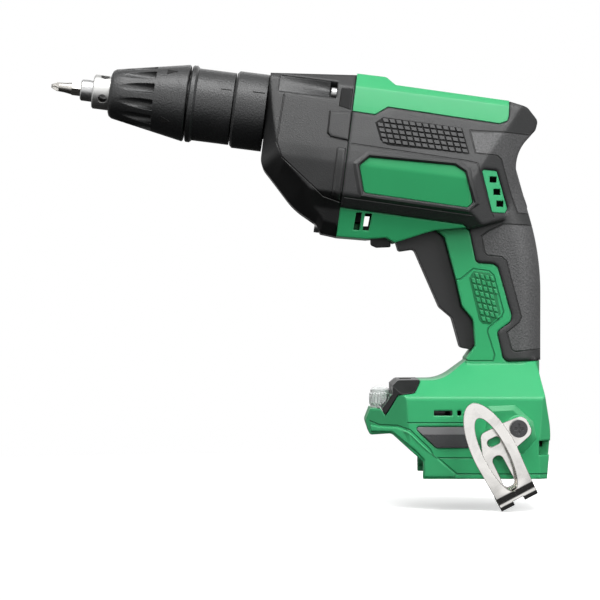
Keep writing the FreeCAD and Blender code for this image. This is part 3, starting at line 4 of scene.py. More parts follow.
import bmesh
import bpy
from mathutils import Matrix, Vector, geometry
from mathutils.bvhtree import BVHTree


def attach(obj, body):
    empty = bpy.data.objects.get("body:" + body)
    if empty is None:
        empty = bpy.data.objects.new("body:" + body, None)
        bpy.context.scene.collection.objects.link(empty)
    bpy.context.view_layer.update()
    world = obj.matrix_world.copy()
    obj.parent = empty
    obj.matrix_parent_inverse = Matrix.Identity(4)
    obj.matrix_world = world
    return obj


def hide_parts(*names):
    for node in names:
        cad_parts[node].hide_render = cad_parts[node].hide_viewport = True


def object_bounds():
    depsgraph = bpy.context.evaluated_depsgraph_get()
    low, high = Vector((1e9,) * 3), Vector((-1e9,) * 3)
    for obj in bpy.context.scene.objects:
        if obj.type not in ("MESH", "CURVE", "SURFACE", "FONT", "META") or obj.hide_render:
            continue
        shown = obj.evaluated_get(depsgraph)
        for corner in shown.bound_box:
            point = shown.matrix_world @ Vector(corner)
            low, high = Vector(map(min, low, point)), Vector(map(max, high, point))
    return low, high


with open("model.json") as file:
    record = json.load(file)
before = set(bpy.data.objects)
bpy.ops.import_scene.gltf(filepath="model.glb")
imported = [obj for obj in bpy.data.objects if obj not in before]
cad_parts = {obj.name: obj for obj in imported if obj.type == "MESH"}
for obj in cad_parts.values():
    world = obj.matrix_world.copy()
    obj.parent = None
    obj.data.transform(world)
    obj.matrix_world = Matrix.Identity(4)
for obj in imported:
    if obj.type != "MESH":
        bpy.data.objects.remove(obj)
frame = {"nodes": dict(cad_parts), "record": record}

MM = 0.001
cad_box = [list(corner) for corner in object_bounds()]

# Drive axis of the tool: a point on it, its direction to the rear and its upward normal
TILT = math.radians(7.3)
AXIS_POINT = Vector((-108.9, 0, 180.5)) * MM
AXIS_REAR = Vector((math.cos(TILT), 0, -math.sin(TILT)))
AXIS_UP = Vector((math.sin(TILT), 0, math.cos(TILT)))


def axis_step(x, z):
    """Step along and above the drive axis as a step (x, z) in the world, in millimetres."""
    step = AXIS_REAR * x + AXIS_UP * z
    return (step.x, step.z)


def axis_places(*spots):
    """World (x, z) in millimetres of places given along and above the drive axis."""
    world = [AXIS_POINT / MM + AXIS_REAR * x + AXIS_UP * z for x, z in spots]
    return [(spot.x, spot.z) for spot in world]


# ---- node helpers

MIX_INPUTS = (0, 6, 7)
MIX_COLOUR = 2


def plug(tree, socket, wire):
    """Fill an input with a link or with a plain value."""
    if isinstance(wire, bpy.types.NodeSocket):
        tree.links.new(wire, socket)
    else:
        socket.default_value = wire


def add(tree, kind, *wires, named=None, **settings):
    """New node with its settings; wires fill its inputs in order and named fills them by name."""
    node = tree.nodes.new(kind)
    for key, value in settings.items():
        setattr(node, key, value)
    for i, wire in enumerate(wires):
        if wire is not None:
            plug(tree, node.inputs[i], wire)
    for label, wire in (named or {}).items():
        plug(tree, node.inputs[label], wire)
    return node


def maths(tree, operation, a, b=None, clamp=False):
    return add(tree, "ShaderNodeMath", a, b, operation=operation, use_clamp=clamp).outputs[0]


def times(tree, a, b, clamp=False):
    return maths(tree, "MULTIPLY", a, b, clamp)


def mixed(tree, share, a, b):
    """Colour between a and b; each is a wire or three plain numbers."""
    node = add(tree, "ShaderNodeMix", data_type="RGBA")
    for i, wire in zip(MIX_INPUTS, (share, a, b)):
        plug(tree, node.inputs[i], (*wire, 1) if isinstance(wire, (list, tuple)) else wire)
    return node.outputs[MIX_COLOUR]


def spread(tree, value, low, high, to_low=0.0, to_high=1.0):
    """Value from one range to another, held at both ends."""
    return add(tree, "ShaderNodeMapRange", value, low, high, to_low, to_high).outputs[0]


def noise(tree, place, scale, detail=2.0, twist=0.0):
    named = {"Scale": scale, "Detail": detail, "Distortion": twist}
    return add(tree, "ShaderNodeTexNoise", place, named=named).outputs[0]


def level_of(tree, place):
    return add(tree, "ShaderNodeSeparateXYZ", place).outputs[2]


def rounded(tree, radius, samples):
    """Normal of a surface whose edges are rounded by a radius."""
    return add(tree, "ShaderNodeBevel", radius, samples=samples).outputs[0]


def flatness(tree, radius, samples):
    """1 on flat ground, less where an edge lies within a radius."""
    flat = tree.nodes.new("ShaderNodeNewGeometry").outputs["Normal"]
    turned = rounded(tree, radius, samples)
    return add(tree, "ShaderNodeVectorMath", turned, flat, operation="DOT_PRODUCT").outputs["Value"]


def relief(tree, height, normal=None):
    """Normal of a surface raised by a height in metres."""
    named = {"Strength": 1.0, "Distance": 1.0, "Height": height}
    if normal:
        named["Normal"] = normal
    return add(tree, "ShaderNodeBump", named=named).outputs[0]


def effect(name, vectors, values, outputs):
    """Empty shader group with named sockets; returns it with its two ends."""
    tree = bpy.data.node_groups.new(name, "ShaderNodeTree")
    for label in vectors:
        tree.interface.new_socket(label, in_out="INPUT", socket_type="NodeSocketVector")
    for label in values:
        tree.interface.new_socket(label, in_out="INPUT", socket_type="NodeSocketFloat")
    for label in outputs:
        tree.interface.new_socket(label, in_out="OUTPUT", socket_type="NodeSocketFloat")
    return tree, tree.nodes.new("NodeGroupInput").outputs, tree.nodes.new("NodeGroupOutput").inputs


def use(tree, group, **values):
    """Node of a shader group; returns its outputs."""
    node = tree.nodes.new("ShaderNodeGroup")
    node.node_tree = group
    for label, wire in values.items():
        plug(tree, node.inputs[label], wire)
    return node.outputs


# ---- shared surface effects

PIT_SHARE = 0.5
TONE_SCALE = 55.0
WEAR_TURN = (0.015, 0.2)
WEAR_BREAK = (0.42, 0.66)
SMEAR_TWIST = 1.2
SPECK_SCALE = 900.0
SPECK_RANGE = (0.66, 0.8)
LINE_WIDTH = 0.00045
LINE_FLOOR = 0.35
FEW_SAMPLES = 4
MORE_SAMPLES = 8


def make_grain():
    """Spark-eroded mould grain: a fine height and a broad tone."""
    tree, given, put = effect("mould grain", ["Place"], ["Scale"], ["Height", "Tone"])
    fine = noise(tree, given["Place"], given["Scale"])
    pits = add(tree, "ShaderNodeTexVoronoi", given["Place"], named={"Scale": given["Scale"]}).outputs[0]
    tree.links.new(maths(tree, "ADD", fine, times(tree, pits, PIT_SHARE)), put["Height"])
    tree.links.new(noise(tree, given["Place"], TONE_SCALE, detail=4.0), put["Tone"])
    return tree


def make_wear():
    """Mask along the edges that hands and benches rub, broken up by noise."""
    tree, given, put = effect("edge wear", ["Place"], ["Radius", "Patch"], ["Mask"])
    turn = maths(tree, "SUBTRACT", 1.0, flatness(tree, given["Radius"], FEW_SAMPLES))
    edge = spread(tree, turn, *WEAR_TURN)
    broken = spread(tree, noise(tree, given["Place"], given["Patch"], detail=5.0), *WEAR_BREAK)
    tree.links.new(times(tree, edge, broken, clamp=True), put["Mask"])
    return tree


def make_handling():
    """Faint smears and dust: one value for gloss and one for pale dust."""
    tree, given, put = effect("handling", ["Place"], ["Scale"], ["Gloss", "Dust"])
    smear = noise(tree, given["Place"], given["Scale"], detail=5.0, twist=SMEAR_TWIST)
    tree.links.new(smear, put["Gloss"])
    specks = noise(tree, given["Place"], SPECK_SCALE, detail=3.0)
    tree.links.new(spread(tree, specks, *SPECK_RANGE), put["Dust"])
    return tree


def make_line_step():
    """One straight run of a moulded line: keeps the smaller of two distances, seen from the side."""
    tree, given, put = effect("moulded line", ["Place", "Start", "Run"], ["Share", "Nearest"], ["Nearest"])
    kind = "ShaderNodeVectorMath"
    away = add(tree, kind, given["Place"], given["Start"], operation="SUBTRACT").outputs[0]
    along = add(tree, kind, away, given["Run"], operation="DOT_PRODUCT").outputs["Value"]
    share = times(tree, along, given["Share"], clamp=True)
    foot = add(tree, kind, given["Run"], operation="SCALE", named={"Scale": share}).outputs[0]
    rest = add(tree, kind, away, foot, operation="SUBTRACT").outputs[0]
    length = add(tree, kind, rest, operation="LENGTH").outputs["Value"]
    tree.links.new(maths(tree, "MINIMUM", length, given["Nearest"]), put["Nearest"])
    return tree


GRAIN = make_grain()
WEAR = make_wear()
HANDLING = make_handling()
LINE_STEP = make_line_step()


def line_depth(tree, place, lines):
    """1 in the bottom of the moulded lines, 0 away from them; lines are side outlines in millimetres."""
    flat = add(tree, "ShaderNodeVectorMath", place, (1, 0, 1), operation="MULTIPLY").outputs[0]
    nearest = 1.0
    for line in lines:
        for (x0, z0), (x1, z1) in zip(line, line[1:]):
            run = Vector((x1 - x0, 0, z1 - z0)) * MM
            nearest = use(tree, LINE_STEP, Place=flat, Start=Vector((x0, 0, z0)) * MM, Run=run,
                          Share=1 / run.length_squared, Nearest=nearest)["Nearest"]
    return spread(tree, nearest, LINE_WIDTH * LINE_FLOOR, LINE_WIDTH, 1.0, 0.0)


def beyond(tree, place, edge):
    """1 to the rear of an edge, given as (x, z) corners in millimetres from its lowest to its highest."""
    low, high = edge[0][1], edge[-1][1]
    near, far = min(x for x, z in edge), max(x for x, z in edge)
    spot = add(tree, "ShaderNodeSeparateXYZ", place).outputs
    height = spread(tree, spot[2], low * MM, high * MM)
    curve = add(tree, "ShaderNodeFloatCurve", 1.0, height)
    points = curve.mapping.curves[0].points
    for x, z in edge[1:-1]:
        points.new((z - low) / (high - low), (x - near) / (far - near))
    points[0].location = (0, (edge[0][0] - near) / (far - near))
    points[len(points) - 1].location = (1, (edge[-1][0] - near) / (far - near))
    for point in points:
        point.handle_type = "VECTOR"
    curve.mapping.update()
    front = spread(tree, curve.outputs[0], 0.0, 1.0, near * MM, far * MM)
    behind = maths(tree, "GREATER_THAN", spot[0], front)
    above = maths(tree, "GREATER_THAN", spot[2], low * MM)
    below = maths(tree, "LESS_THAN", spot[2], high * MM)
    return times(tree, behind, times(tree, above, below))


# ---- finishes

NOISE_MIDDLE = (0.3, 0.7)
SMEAR_SCALE = 34.0
SMEAR_GLOSS = 0.06
RUB_LIMIT = 0.0009
RUB_REACH = 1.3
RUB_PATCH = 210.0
RUB_GLOSS = 0.12
DUST = (0.55, 0.54, 0.52)
COARSE_SCALE = 1050.0
COARSE_DEPTH = 0.00016
# Coarse panels: their share of a lighter grey and that grey, a painted sheen
COARSE_SHEEN_SHARE = 0.6
COARSE_SHEEN_GREY = (0.11, 0.11, 0.112)
# Share of the painted groove shade in the colour of the moulded lines
GROOVE_SHADE_SHARE = 0.8
GROOVE_DEPTH = 0.0004
BROAD_EDGE = 0.002
METAL_SMEAR = 60.0
METAL_PATCH = 300.0
METAL_REACH = 1.5
STAIN_RANGE = (0.45, 0.75)
STAIN_SHADE = 0.72
BRIGHT_GAIN = 1.15
BRIGHT_LIFT = 0.05
BRIGHT_SHARE = 0.6
# Edge turn over which the painted dark reflection of a metal rim fades in
RIM_REFLECTION_TURN = (0.86, 0.98)


def blank(name):
    material = bpy.data.materials.new(name)
    material.use_nodes = True
    tree = material.node_tree
    shader = tree.nodes["Principled BSDF"]
    place = tree.nodes.new("ShaderNodeTexCoord").outputs["Object"]
    return material, tree, shader, place


def coat(tree, shader, colour, roughness, normal):
    """Wire a finish into its shader."""
    tree.links.new(colour, shader.inputs["Base Color"])
    tree.links.new(roughness, shader.inputs["Roughness"])
    tree.links.new(normal, shader.inputs["Normal"])


def moulded(name, colour, rough, grain, bump, worn, wear=0.5, lines=(), groove_shade_colour=None, edge=0.0005,
            tone=0.08, dust=0.0, specular=0.32, panels=(), soft=None, smooth=None):
    """Moulded plastic or rubber: grained, rounded at its edges and rubbed to its worn colour.

    lines are moulded grooves, painted dark as a painted shade in them, and panels coarse fields, painted
    lighter as a painted sheen, both as side outlines in millimetres.
    soft=(low, middle, high, radius), in millimetres, rounds the edges more round a height.
    smooth=(height, colour) leaves the grain out above a height in millimetres and paints a colour of its own
    there, which stands in for the light on an upper band."""
    material, tree, shader, place = blank(name)
    grained = use(tree, GRAIN, Place=place, Scale=grain)
    handled = use(tree, HANDLING, Place=place, Scale=SMEAR_SCALE)
    rubbed = use(tree, WEAR, Place=place, Radius=min(edge, RUB_LIMIT) * RUB_REACH, Patch=RUB_PATCH)["Mask"]
    dark = [c * (1 - tone) for c in colour]
    light = [min(1, c * (1 + tone)) for c in colour]
    paint = mixed(tree, grained["Tone"], dark, light)
    paint = mixed(tree, times(tree, rubbed, wear), paint, worn)
    if dust:
        paint = mixed(tree, times(tree, handled["Dust"], dust), paint, DUST)
    height = times(tree, grained["Height"], bump)
    if smooth:
        above = maths(tree, "GREATER_THAN", level_of(tree, place), smooth[0] * MM)
        height = times(tree, height, maths(tree, "SUBTRACT", 1.0, above))
        # Above the height the colour is a painted highlight for a lit upper band.
        paint = mixed(tree, above, paint, smooth[1])
    for panel in panels:
        pitted = use(tree, GRAIN, Place=place, Scale=COARSE_SCALE)["Height"]
        coarse = times(tree, pitted, beyond(tree, place, panel))
        height = maths(tree, "ADD", height, times(tree, coarse, COARSE_DEPTH))
        # The coarse panels are painted lighter grey, a painted sheen.
        paint = mixed(tree, times(tree, coarse, COARSE_SHEEN_SHARE, clamp=True), paint, COARSE_SHEEN_GREY)
    if lines:
        groove = line_depth(tree, place, lines)
        # The moulded lines are painted dark, a painted shade in their grooves.
        paint = mixed(tree, times(tree, groove, GROOVE_SHADE_SHARE), paint, groove_shade_colour)
        height = maths(tree, "SUBTRACT", height, times(tree, groove, GROOVE_DEPTH))
    smear = spread(tree, handled["Gloss"], *NOISE_MIDDLE, -SMEAR_GLOSS, SMEAR_GLOSS)
    roughness = maths(tree, "ADD", rough, smear)
    roughness = maths(tree, "SUBTRACT", roughness, times(tree, rubbed, RUB_GLOSS), clamp=True)
    radius = edge
    if soft:
        low, middle, high, widest = [size * MM for size in soft]
        level = level_of(tree, place)
        rise = spread(tree, level, low, middle)
        fall = spread(tree, level, middle, high, 1.0, 0.0)
        radius = spread(tree, times(tree, rise, fall), 0.0, 1.0, edge, widest)
    samples = MORE_SAMPLES if edge > BROAD_EDGE or soft else FEW_SAMPLES
    coat(tree, shader, paint, roughness, relief(tree, height, rounded(tree, radius, samples)))
    shader.inputs["Specular IOR Level"].default_value = specular
    return material


def metal(name, colour, rough, brush=(1, 1, 1), scale=900.0, bump=0.000004, edge=0.0003, vary=0.08,
          rim=None):
    """Bare metal with its working marks, which brush stretches, and with darker smears.

    rim=(radius, colour) paints a colour along its edges, a painted dark reflection on their side faces, in
    place of their bright rubbing."""
    material, tree, shader, place = blank(name)
    marks = add(tree, "ShaderNodeVectorMath", place, brush, operation="MULTIPLY").outputs[0]
    fine = noise(tree, marks, scale, detail=3.0)
    smear = use(tree, HANDLING, Place=place, Scale=METAL_SMEAR)["Gloss"]
    tint = mixed(tree, spread(tree, smear, *STAIN_RANGE), colour, [c * STAIN_SHADE for c in colour])
    if rim:
        # Painted dark reflection along the edges, in place of the bright rubbing
        near = spread(tree, flatness(tree, rim[0], MORE_SAMPLES), *RIM_REFLECTION_TURN, 1.0, 0.0)
        tint = mixed(tree, near, tint, rim[1])
    else:
        rubbed = use(tree, WEAR, Place=place, Radius=edge * METAL_REACH, Patch=METAL_PATCH)["Mask"]
        bright = [min(1, c * BRIGHT_GAIN + BRIGHT_LIFT) for c in colour]
        tint = mixed(tree, times(tree, rubbed, BRIGHT_SHARE), tint, bright)
    roughness = maths(tree, "ADD", rough, spread(tree, fine, *NOISE_MIDDLE, -vary, vary), clamp=True)
    normal = relief(tree, times(tree, fine, bump), rounded(tree, edge, FEW_SAMPLES))
    coat(tree, shader, tint, roughness, normal)
    shader.inputs["Metallic"].default_value = 1.0
    return material


def clear_lens(name, dim, bright, gloss, cloud, bump, clear, bend):
    """Moulded lamp lens: cloudy between two colours and two roughnesses, a little see-through."""
    material, tree, shader, place = blank(name)
    fine = noise(tree, place, cloud)
    roughness = spread(tree, fine, *NOISE_MIDDLE, *gloss)
    coat(tree, shader, mixed(tree, fine, dim, bright), roughness, relief(tree, times(tree, fine, bump)))
    shader.inputs["Transmission Weight"].default_value = clear
    shader.inputs["IOR"].default_value = bend
    return material


# Moulded lines, painted dark as a painted groove shade, and coarse panels, painted lighter as a painted
# sheen, as seen from the side, in millimetres
GRIP_LINES = [
    [(24, 168.7), (-8.4, 170.6), (-5.9, 159.2), (5.2, 158.1), (7.1, 156.4), (11.5, 141.2), (15.7, 130.1),
     (30, 129)],
    [(34, 123.5), (8.3, 124.6), (1.1, 121.3), (-2.4, 118.7), (-0.7, 110.4), (0.7, 109.2), (7.7, 108.5),
     (10.0, 106.3), (17.4, 78.5), (16.1, 75.8), (10.3, 71.0), (12.6, 62.7), (14.3, 61.5), (34, 63.6)],
    axis_places((44, -11.2), (100.5, -12.4), (106.5, -13.0), (114, -31), (118, -38)),
    axis_places((44, -37.6), (107, -38.4)),
]
SHELL_LINES = [
    [(-15.7, 96.9), (-12.6, 97.6), (-6.5, 102.6), (1.5, 101.5), (3.8, 99.3), (8.6, 81.3), (7.7, 79.0),
     (1.1, 73.4), (0.6, 71.4), (4.2, 60.0), (3.4, 57.1), (-9.0, 57.1), (-10.5, 58.2)],
    [(-57.5, 27.6), (-53.0, 25.8), (-44.3, 25.8), (-38.4, 23.9), (-28.7, 14.6), (-26.8, 11.2),
     (-25.6, 10.2), (-6.8, 10.2)],
    [(-24.8, 10.4), (-15.5, 2.4), (34, 2.4)],
    [(-39.4, 27.3), (-10.9, 27.3)],
]
GRIP_PANELS = [
    [(14.3, 62.4), (12.6, 62.7), (10.3, 71.0), (16.1, 75.8), (17.4, 78.5), (10.0, 106.3), (7.7, 108.5),
     (0.7, 109.2), (-0.7, 110.4), (-2.4, 118.7), (1.1, 121.3), (8.3, 124.2)],
    [(15.7, 129.8), (11.5, 141.2), (7.1, 156.4), (5.2, 158.1), (-5.9, 159.2), (-8.4, 169.6)],
]
COVER_LINES = [
    axis_places((8.0, 9.0), (7.4, -15.0), (10.8, -22.0), (33.5, -38.4), (42.0, -40.2)),
    axis_places((31.5, 3.6), (31.7, -7.5), (33.6, -9.2), (42.0, -10.0)),
]
SOFT_FOOT = (48, 56, 61, 2.2)
BUMPER_BEND = 21.7
# Near-black painted shade in the grooves of the moulded lines
GROOVE_SHADE_BLACK = (0.001, 0.001, 0.001)

# The green shell's moulded lines are painted dark green, a painted shade in their grooves.
GREEN = moulded(
    "green_shell_plastic", (0.03, 0.345, 0.13), rough=0.36, grain=1500.0, bump=0.000012,
    worn=(0.22, 0.58, 0.36), wear=0.35, lines=SHELL_LINES, groove_shade_colour=(0.01, 0.13, 0.05), tone=0.05,
    edge=0.0015, soft=SOFT_FOOT)
CAP_GREEN = moulded(
    "green_cover_plastic", (0.026, 0.295, 0.11), rough=0.34, grain=1500.0, bump=0.000010,
    worn=(0.22, 0.58, 0.36), wear=0.35, tone=0.05, edge=0.0006)
PLATE_GREEN = moulded(
    "green_plate_plastic", (0.012, 0.235, 0.08), rough=0.34, grain=1500.0, bump=0.000010,
    worn=(0.1, 0.4, 0.22), wear=0.3, tone=0.05, edge=0.0007)
VENT_GREEN = moulded(
    "green_vent_plastic", (0.055, 0.45, 0.19), rough=0.34, grain=1500.0, bump=0.000010,
    worn=(0.22, 0.58, 0.36), wear=0.35, tone=0.05, edge=0.0006)
# Dark green sheet under the handle knobs, a painted shade between them
GREEN_PAD_SHADE = moulded(
    "green_pad_shade", (0.012, 0.17, 0.06), rough=0.5, grain=1500.0, bump=0.000010,
    worn=(0.05, 0.25, 0.12), wear=0.2, tone=0.05)
RUBBER = moulded(
    "soft_grip_rubber", (0.011, 0.0115, 0.012), rough=0.55, grain=1300.0, bump=0.00008,
    worn=(0.05, 0.05, 0.05), lines=GRIP_LINES, groove_shade_colour=GROOVE_SHADE_BLACK, dust=0.04, edge=0.003,
    specular=0.55, panels=GRIP_PANELS)
RUBBER_KNOB = moulded(
    "grip_knob_rubber", (0.012, 0.0125, 0.013), rough=0.5, grain=1700.0, bump=0.00002,
    worn=(0.06, 0.06, 0.06), wear=0.6, edge=0.0003, specular=0.55)
COVER = moulded(
    "gear_cover_plastic", (0.008, 0.0083, 0.0086), rough=0.42, grain=1700.0, bump=0.00006,
    worn=(0.05, 0.05, 0.05), lines=COVER_LINES, groove_shade_colour=GROOVE_SHADE_BLACK, dust=0.03, edge=0.0021,
    specular=0.42)
NOSE = moulded(
    "nose_plastic", (0.010, 0.0105, 0.011), rough=0.45, grain=1100.0, bump=0.00013,
    worn=(0.06, 0.06, 0.06), wear=0.6, dust=0.03, edge=0.0006, specular=0.55)
TRIGGER_BLACK = moulded(
    "trigger_plastic", (0.007, 0.007, 0.0075), rough=0.4, grain=1700.0, bump=0.000015,
    worn=(0.04, 0.04, 0.04), wear=0.4, edge=0.0012, specular=0.5)
PANEL = moulded(
    "panel_plastic", (0.005, 0.005, 0.0053), rough=0.3, grain=1800.0, bump=0.000008,
    worn=(0.04, 0.04, 0.04), wear=0.4, edge=0.0006)
# The bumper's band above BUMPER_BEND is painted a lighter grey, a painted highlight for its lit slope.
BUMPER = moulded(
    "bumper_rubber", (0.018, 0.0185, 0.02), rough=0.58, grain=1100.0, bump=0.00016,
    worn=(0.1, 0.1, 0.1), dust=0.04, edge=0.0004, specular=0.5,
    smooth=(BUMPER_BEND, (0.13, 0.13, 0.133)))
SEAL = moulded(
    "seal_rubber", (0.01, 0.01, 0.01), rough=0.65, grain=1500.0, bump=0.00002, worn=(0.05, 0.05, 0.05))
GROOVE = moulded(
    "groove_shadow", (0.003, 0.003, 0.003), rough=0.8, grain=1500.0, bump=0.00001,
    worn=(0.01, 0.01, 0.01))
INNER = moulded(
    "inner_plastic", (0.03, 0.03, 0.033), rough=0.5, grain=1300.0, bump=0.00001, worn=(0.08, 0.08, 0.08))
POTTING = moulded(
    "potting_resin", (0.02, 0.02, 0.022), rough=0.35, grain=500.0, bump=0.00005, worn=(0.06, 0.06, 0.06))
BOARD = moulded(
    "board_laminate", (0.015, 0.11, 0.045), rough=0.4, grain=1200.0, bump=0.00001, worn=(0.3, 0.3, 0.2))
JACKET = moulded(
    "lead_jacket", (0.16, 0.015, 0.012), rough=0.45, grain=1500.0, bump=0.000006, worn=(0.25, 0.1, 0.1))
STEEL = metal("satin_steel", (0.44, 0.44, 0.44), rough=0.38, scale=1500.0)
BIT_STEEL = metal("bit_steel", (0.34, 0.33, 0.31), rough=0.36, brush=(0.3, 1, 1), scale=1800.0)
DARK_STEEL = metal("oiled_steel", (0.28, 0.28, 0.29), rough=0.35)
BLASTED = metal(
    "blasted_aluminium", (0.47, 0.47, 0.46), rough=0.46, scale=2600.0, bump=0.00003, edge=0.0004,
    vary=0.05)
CAST = metal("cast_aluminium", (0.5, 0.5, 0.51), rough=0.5, scale=700.0, bump=0.00002)
# The nickel's edges are painted dark, a painted reflection on their side faces.
NICKEL = metal(
    "nickel_plate", (0.86, 0.84, 0.81), rough=0.14, scale=260.0, bump=0.000006, edge=0.0004, vary=0.04,
    rim=(0.0008, (0.1, 0.092, 0.08)))
BLACK_OXIDE = metal("black_oxide", (0.085, 0.085, 0.088), rough=0.3)
LAMINATION = metal("stacked_sheet", (0.2, 0.2, 0.21), rough=0.5, brush=(8, 1, 1), bump=0.00002)
BRONZE = metal("sintered_bronze", (0.45, 0.28, 0.12), rough=0.42, scale=1800.0, bump=0.00002)
COPPER = metal(
    "enamelled_copper", (0.5, 0.19, 0.07), rough=0.3, brush=(14, 1, 1), scale=700.0, bump=0.00004)
BRASS = metal("contact_brass", (0.62, 0.46, 0.2), rough=0.28)
LENS = clear_lens(
    "lamp_lens", dim=(0.76, 0.79, 0.78), bright=(0.88, 0.9, 0.89), gloss=(0.16, 0.3), cloud=420.0,
    bump=0.00001, clear=0.18, bend=1.49)


# ---- pieces

HOUSING = "housing"
CREASE = 32.0
WELD = 1e-6
CUT_WELD = 1e-7

# Bumper: its outer face from the middle, in millimetres, and the slope and crease of its upper band
BUMPER_FACE = 37.1
BUMPER_SLOPE = 0.2
BUMPER_CREASE = 8.0
FACE_SLACK = 0.05

# Rolled hollow across the free end of the belt hook: its direction, start, length and depth in millimetres
HOOK_ALONG = Vector((0.46, 0, -0.888))
LIP_START = 9.2
LIP_LENGTH = 6.0
LIP_DEPTH = 1.4
LIP_CUTS = 10

record = frame["record"]
SLOT_OF = {part["node"]: part["material_slot"] for part in record["subparts"]}
BODY_OF = {node: body for body, nodes in record["behaviour"]["bodies"].items() for node in nodes}


def crease_edges(bm, crease):
    """Shade smooth, but for the edges that bend by more than the crease angle."""
    for face in bm.faces:
        face.smooth = True
    for edge in bm.edges:
        edge.smooth = edge.calc_face_angle(0.0) < math.radians(crease)


def keep(name, bm, material, body, crease=CREASE):
    """Finish a mesh as a piece that rides on a body."""
    crease_edges(bm, crease)
    mesh = bpy.data.meshes.new(name)
    bm.to_mesh(mesh)
    bm.free()
    for layer in ("custom_normal", "sharp_face"):
        if layer in mesh.attributes:
            mesh.attributes.remove(mesh.attributes[layer])
    mesh.materials.clear()
    mesh.materials.append(material)
    piece = bpy.data.objects.new(name, mesh)
    bpy.context.scene.collection.objects.link(piece)
    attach(piece, body)
    return piece


def dress(node, material, crease=CREASE):
    """Smooth copy of a CAD node in its own finish."""
    bm = bmesh.new()
    bm.from_mesh(frame["nodes"][node].data)
    bmesh.ops.remove_doubles(bm, verts=bm.verts, dist=WELD)
    piece = keep(node + "_dressed", bm, material, BODY_OF[node], crease)
    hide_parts(node)
    return piece


def cut_across(bm, place, facing):
    """Cut a mesh along a plane, and keep both sides."""
    bmesh.ops.bisect_plane(bm, geom=bm.verts[:] + bm.edges[:] + bm.faces[:], dist=CUT_WELD,
                           plane_co=place, plane_no=facing)


def bevel_bumper(piece):
    """Slope the upper band of a bumper's outer face back towards the shell."""
    bm = bmesh.new()
    bm.from_mesh(piece.data)
    cut_across(bm, (0, 0, BUMPER_BEND * MM), (0, 0, 1))
    for vertex in bm.verts:
        if abs(vertex.co.y) > (BUMPER_FACE - FACE_SLACK) * MM and vertex.co.z > BUMPER_BEND * MM:
            back = (vertex.co.z - BUMPER_BEND * MM) * BUMPER_SLOPE
            vertex.co.y -= math.copysign(back, vertex.co.y)
    crease_edges(bm, BUMPER_CREASE)
    bm.to_mesh(piece.data)
    bm.free()


def roll_lip(piece):
    """Roll a hollow across the free end of the belt hook."""
    bm = bmesh.new()
    bm.from_mesh(piece.data)
    for cut in range(LIP_CUTS + 1):
        cut_across(bm, HOOK_ALONG * (LIP_START + LIP_LENGTH * cut / LIP_CUTS) * MM, HOOK_ALONG)
    for vertex in bm.verts:
        share = (vertex.co.dot(HOOK_ALONG) / MM - LIP_START) / LIP_LENGTH
        if 0 < share < 1:
            vertex.co.y += LIP_DEPTH * MM * math.sin(math.pi * share) ** 2
    crease_edges(bm, CREASE)
    bm.to_mesh(piece.data)
    bm.free()


FINISH = {
    "shell_green": GREEN, "soft_grip": RUBBER, "cover_black": COVER, "nose_black": NOSE,
    "seal_rubber": SEAL, "blasted_aluminium": BLASTED, "cast_aluminium": CAST, "bright_steel": STEEL,
    "dark_steel": DARK_STEEL, "lamination": LAMINATION, "bronze": BRONZE, "copper": COPPER,
    "contact_brass": BRASS, "inner_plastic": INNER, "board": BOARD, "potting": POTTING,
    "panel_black": PANEL, "lens_clear": LENS, "bumper_grey": BUMPER, "hook_nickel": NICKEL,
    "black_screw": BLACK_OXIDE, "lead_jacket": JACKET,
}
for node, piece in frame["nodes"].items():
    piece.data.materials.clear()
    piece.data.materials.append(FINISH[SLOT_OF[node]])

for node in ("housing_left", "housing_right"):
    dress(node, GREEN, crease=20)
dress("top_cover", CAP_GREEN, crease=20)
for word in ("left", "right"):
    dress("side_plate_" + word, PLATE_GREEN, crease=20)
    dress("vent_insert_" + word, VENT_GREEN, crease=20)
for node in ("grip_cover_left", "grip_cover_right"):
    dress(node, RUBBER, crease=20)
dress("gear_cover", COVER, crease=25)
dress("trigger", TRIGGER_BLACK, crease=40)
dress("reverse_lever", TRIGGER_BLACK)
for node in ("depth_adjuster", "stop_ring", "nose_barrel", "neck_collar"):
    dress(node, NOSE, crease=30)
dress("locator_sleeve", BLASTED)
dress("driver_bit", BIT_STEEL, crease=25)
dress("bit_holder", STEEL)
dress("control_panel", PANEL, crease=20)
dress("led_lens", LENS)
for node in ("foot_bumper_left", "foot_bumper_right"):
    bevel_bumper(dress(node, BUMPER))
roll_lip(dress("belt_hook", NICKEL))
dress("hook_screw", BLACK_OXIDE)
dress("mode_button", SEAL)


# ---- raised and sunk details that lie on the moulded skins

# Where the lines that find a skin start: out from the middle, above the floor and out from the drive axis
TOUCH_PROBE = 0.2
CROWN_PROBE = 0.3
MARK_PROBE = 0.06

OUTLINE_STEP = 2.0
RING_CREASE = 25.0
PAD_SINK = 0.0006
PAD_RIM = 0.00002

# Strip: its rows, its sunk foot in millimetres and where its crest's points lie across it
STRIP_ROWS = 10
STRIP_SINK = 0.6
STRIP_CREST = (0.07, 0.36, 0.64, 0.93)

# Frame round a plate: how far out its rings lie, in millimetres, and how far they stand off, in metres
FRAME_OUTER = 3.0
FRAME_CREST = 1.5
FRAME_INNER = 0.7
FRAME_WALL = 0.2
FRAME_CREST_RISE = 0.0009
FRAME_INNER_RISE = 0.0008
FRAME_SINK = 0.0005
FRAME_BACK = 0.0004

KNOB_PROUD = 0.3


def skin_of(*nodes):
    """Search tree over the rest surfaces of some CAD nodes."""
    points = []
    faces = []
    for node in nodes:
        mesh = frame["nodes"][node].data
        start = len(points)
        points += [vertex.co.copy() for vertex in mesh.vertices]
        faces += [[start + i for i in polygon.vertices] for polygon in mesh.polygons]
    return BVHTree.FromPolygons(points, faces)


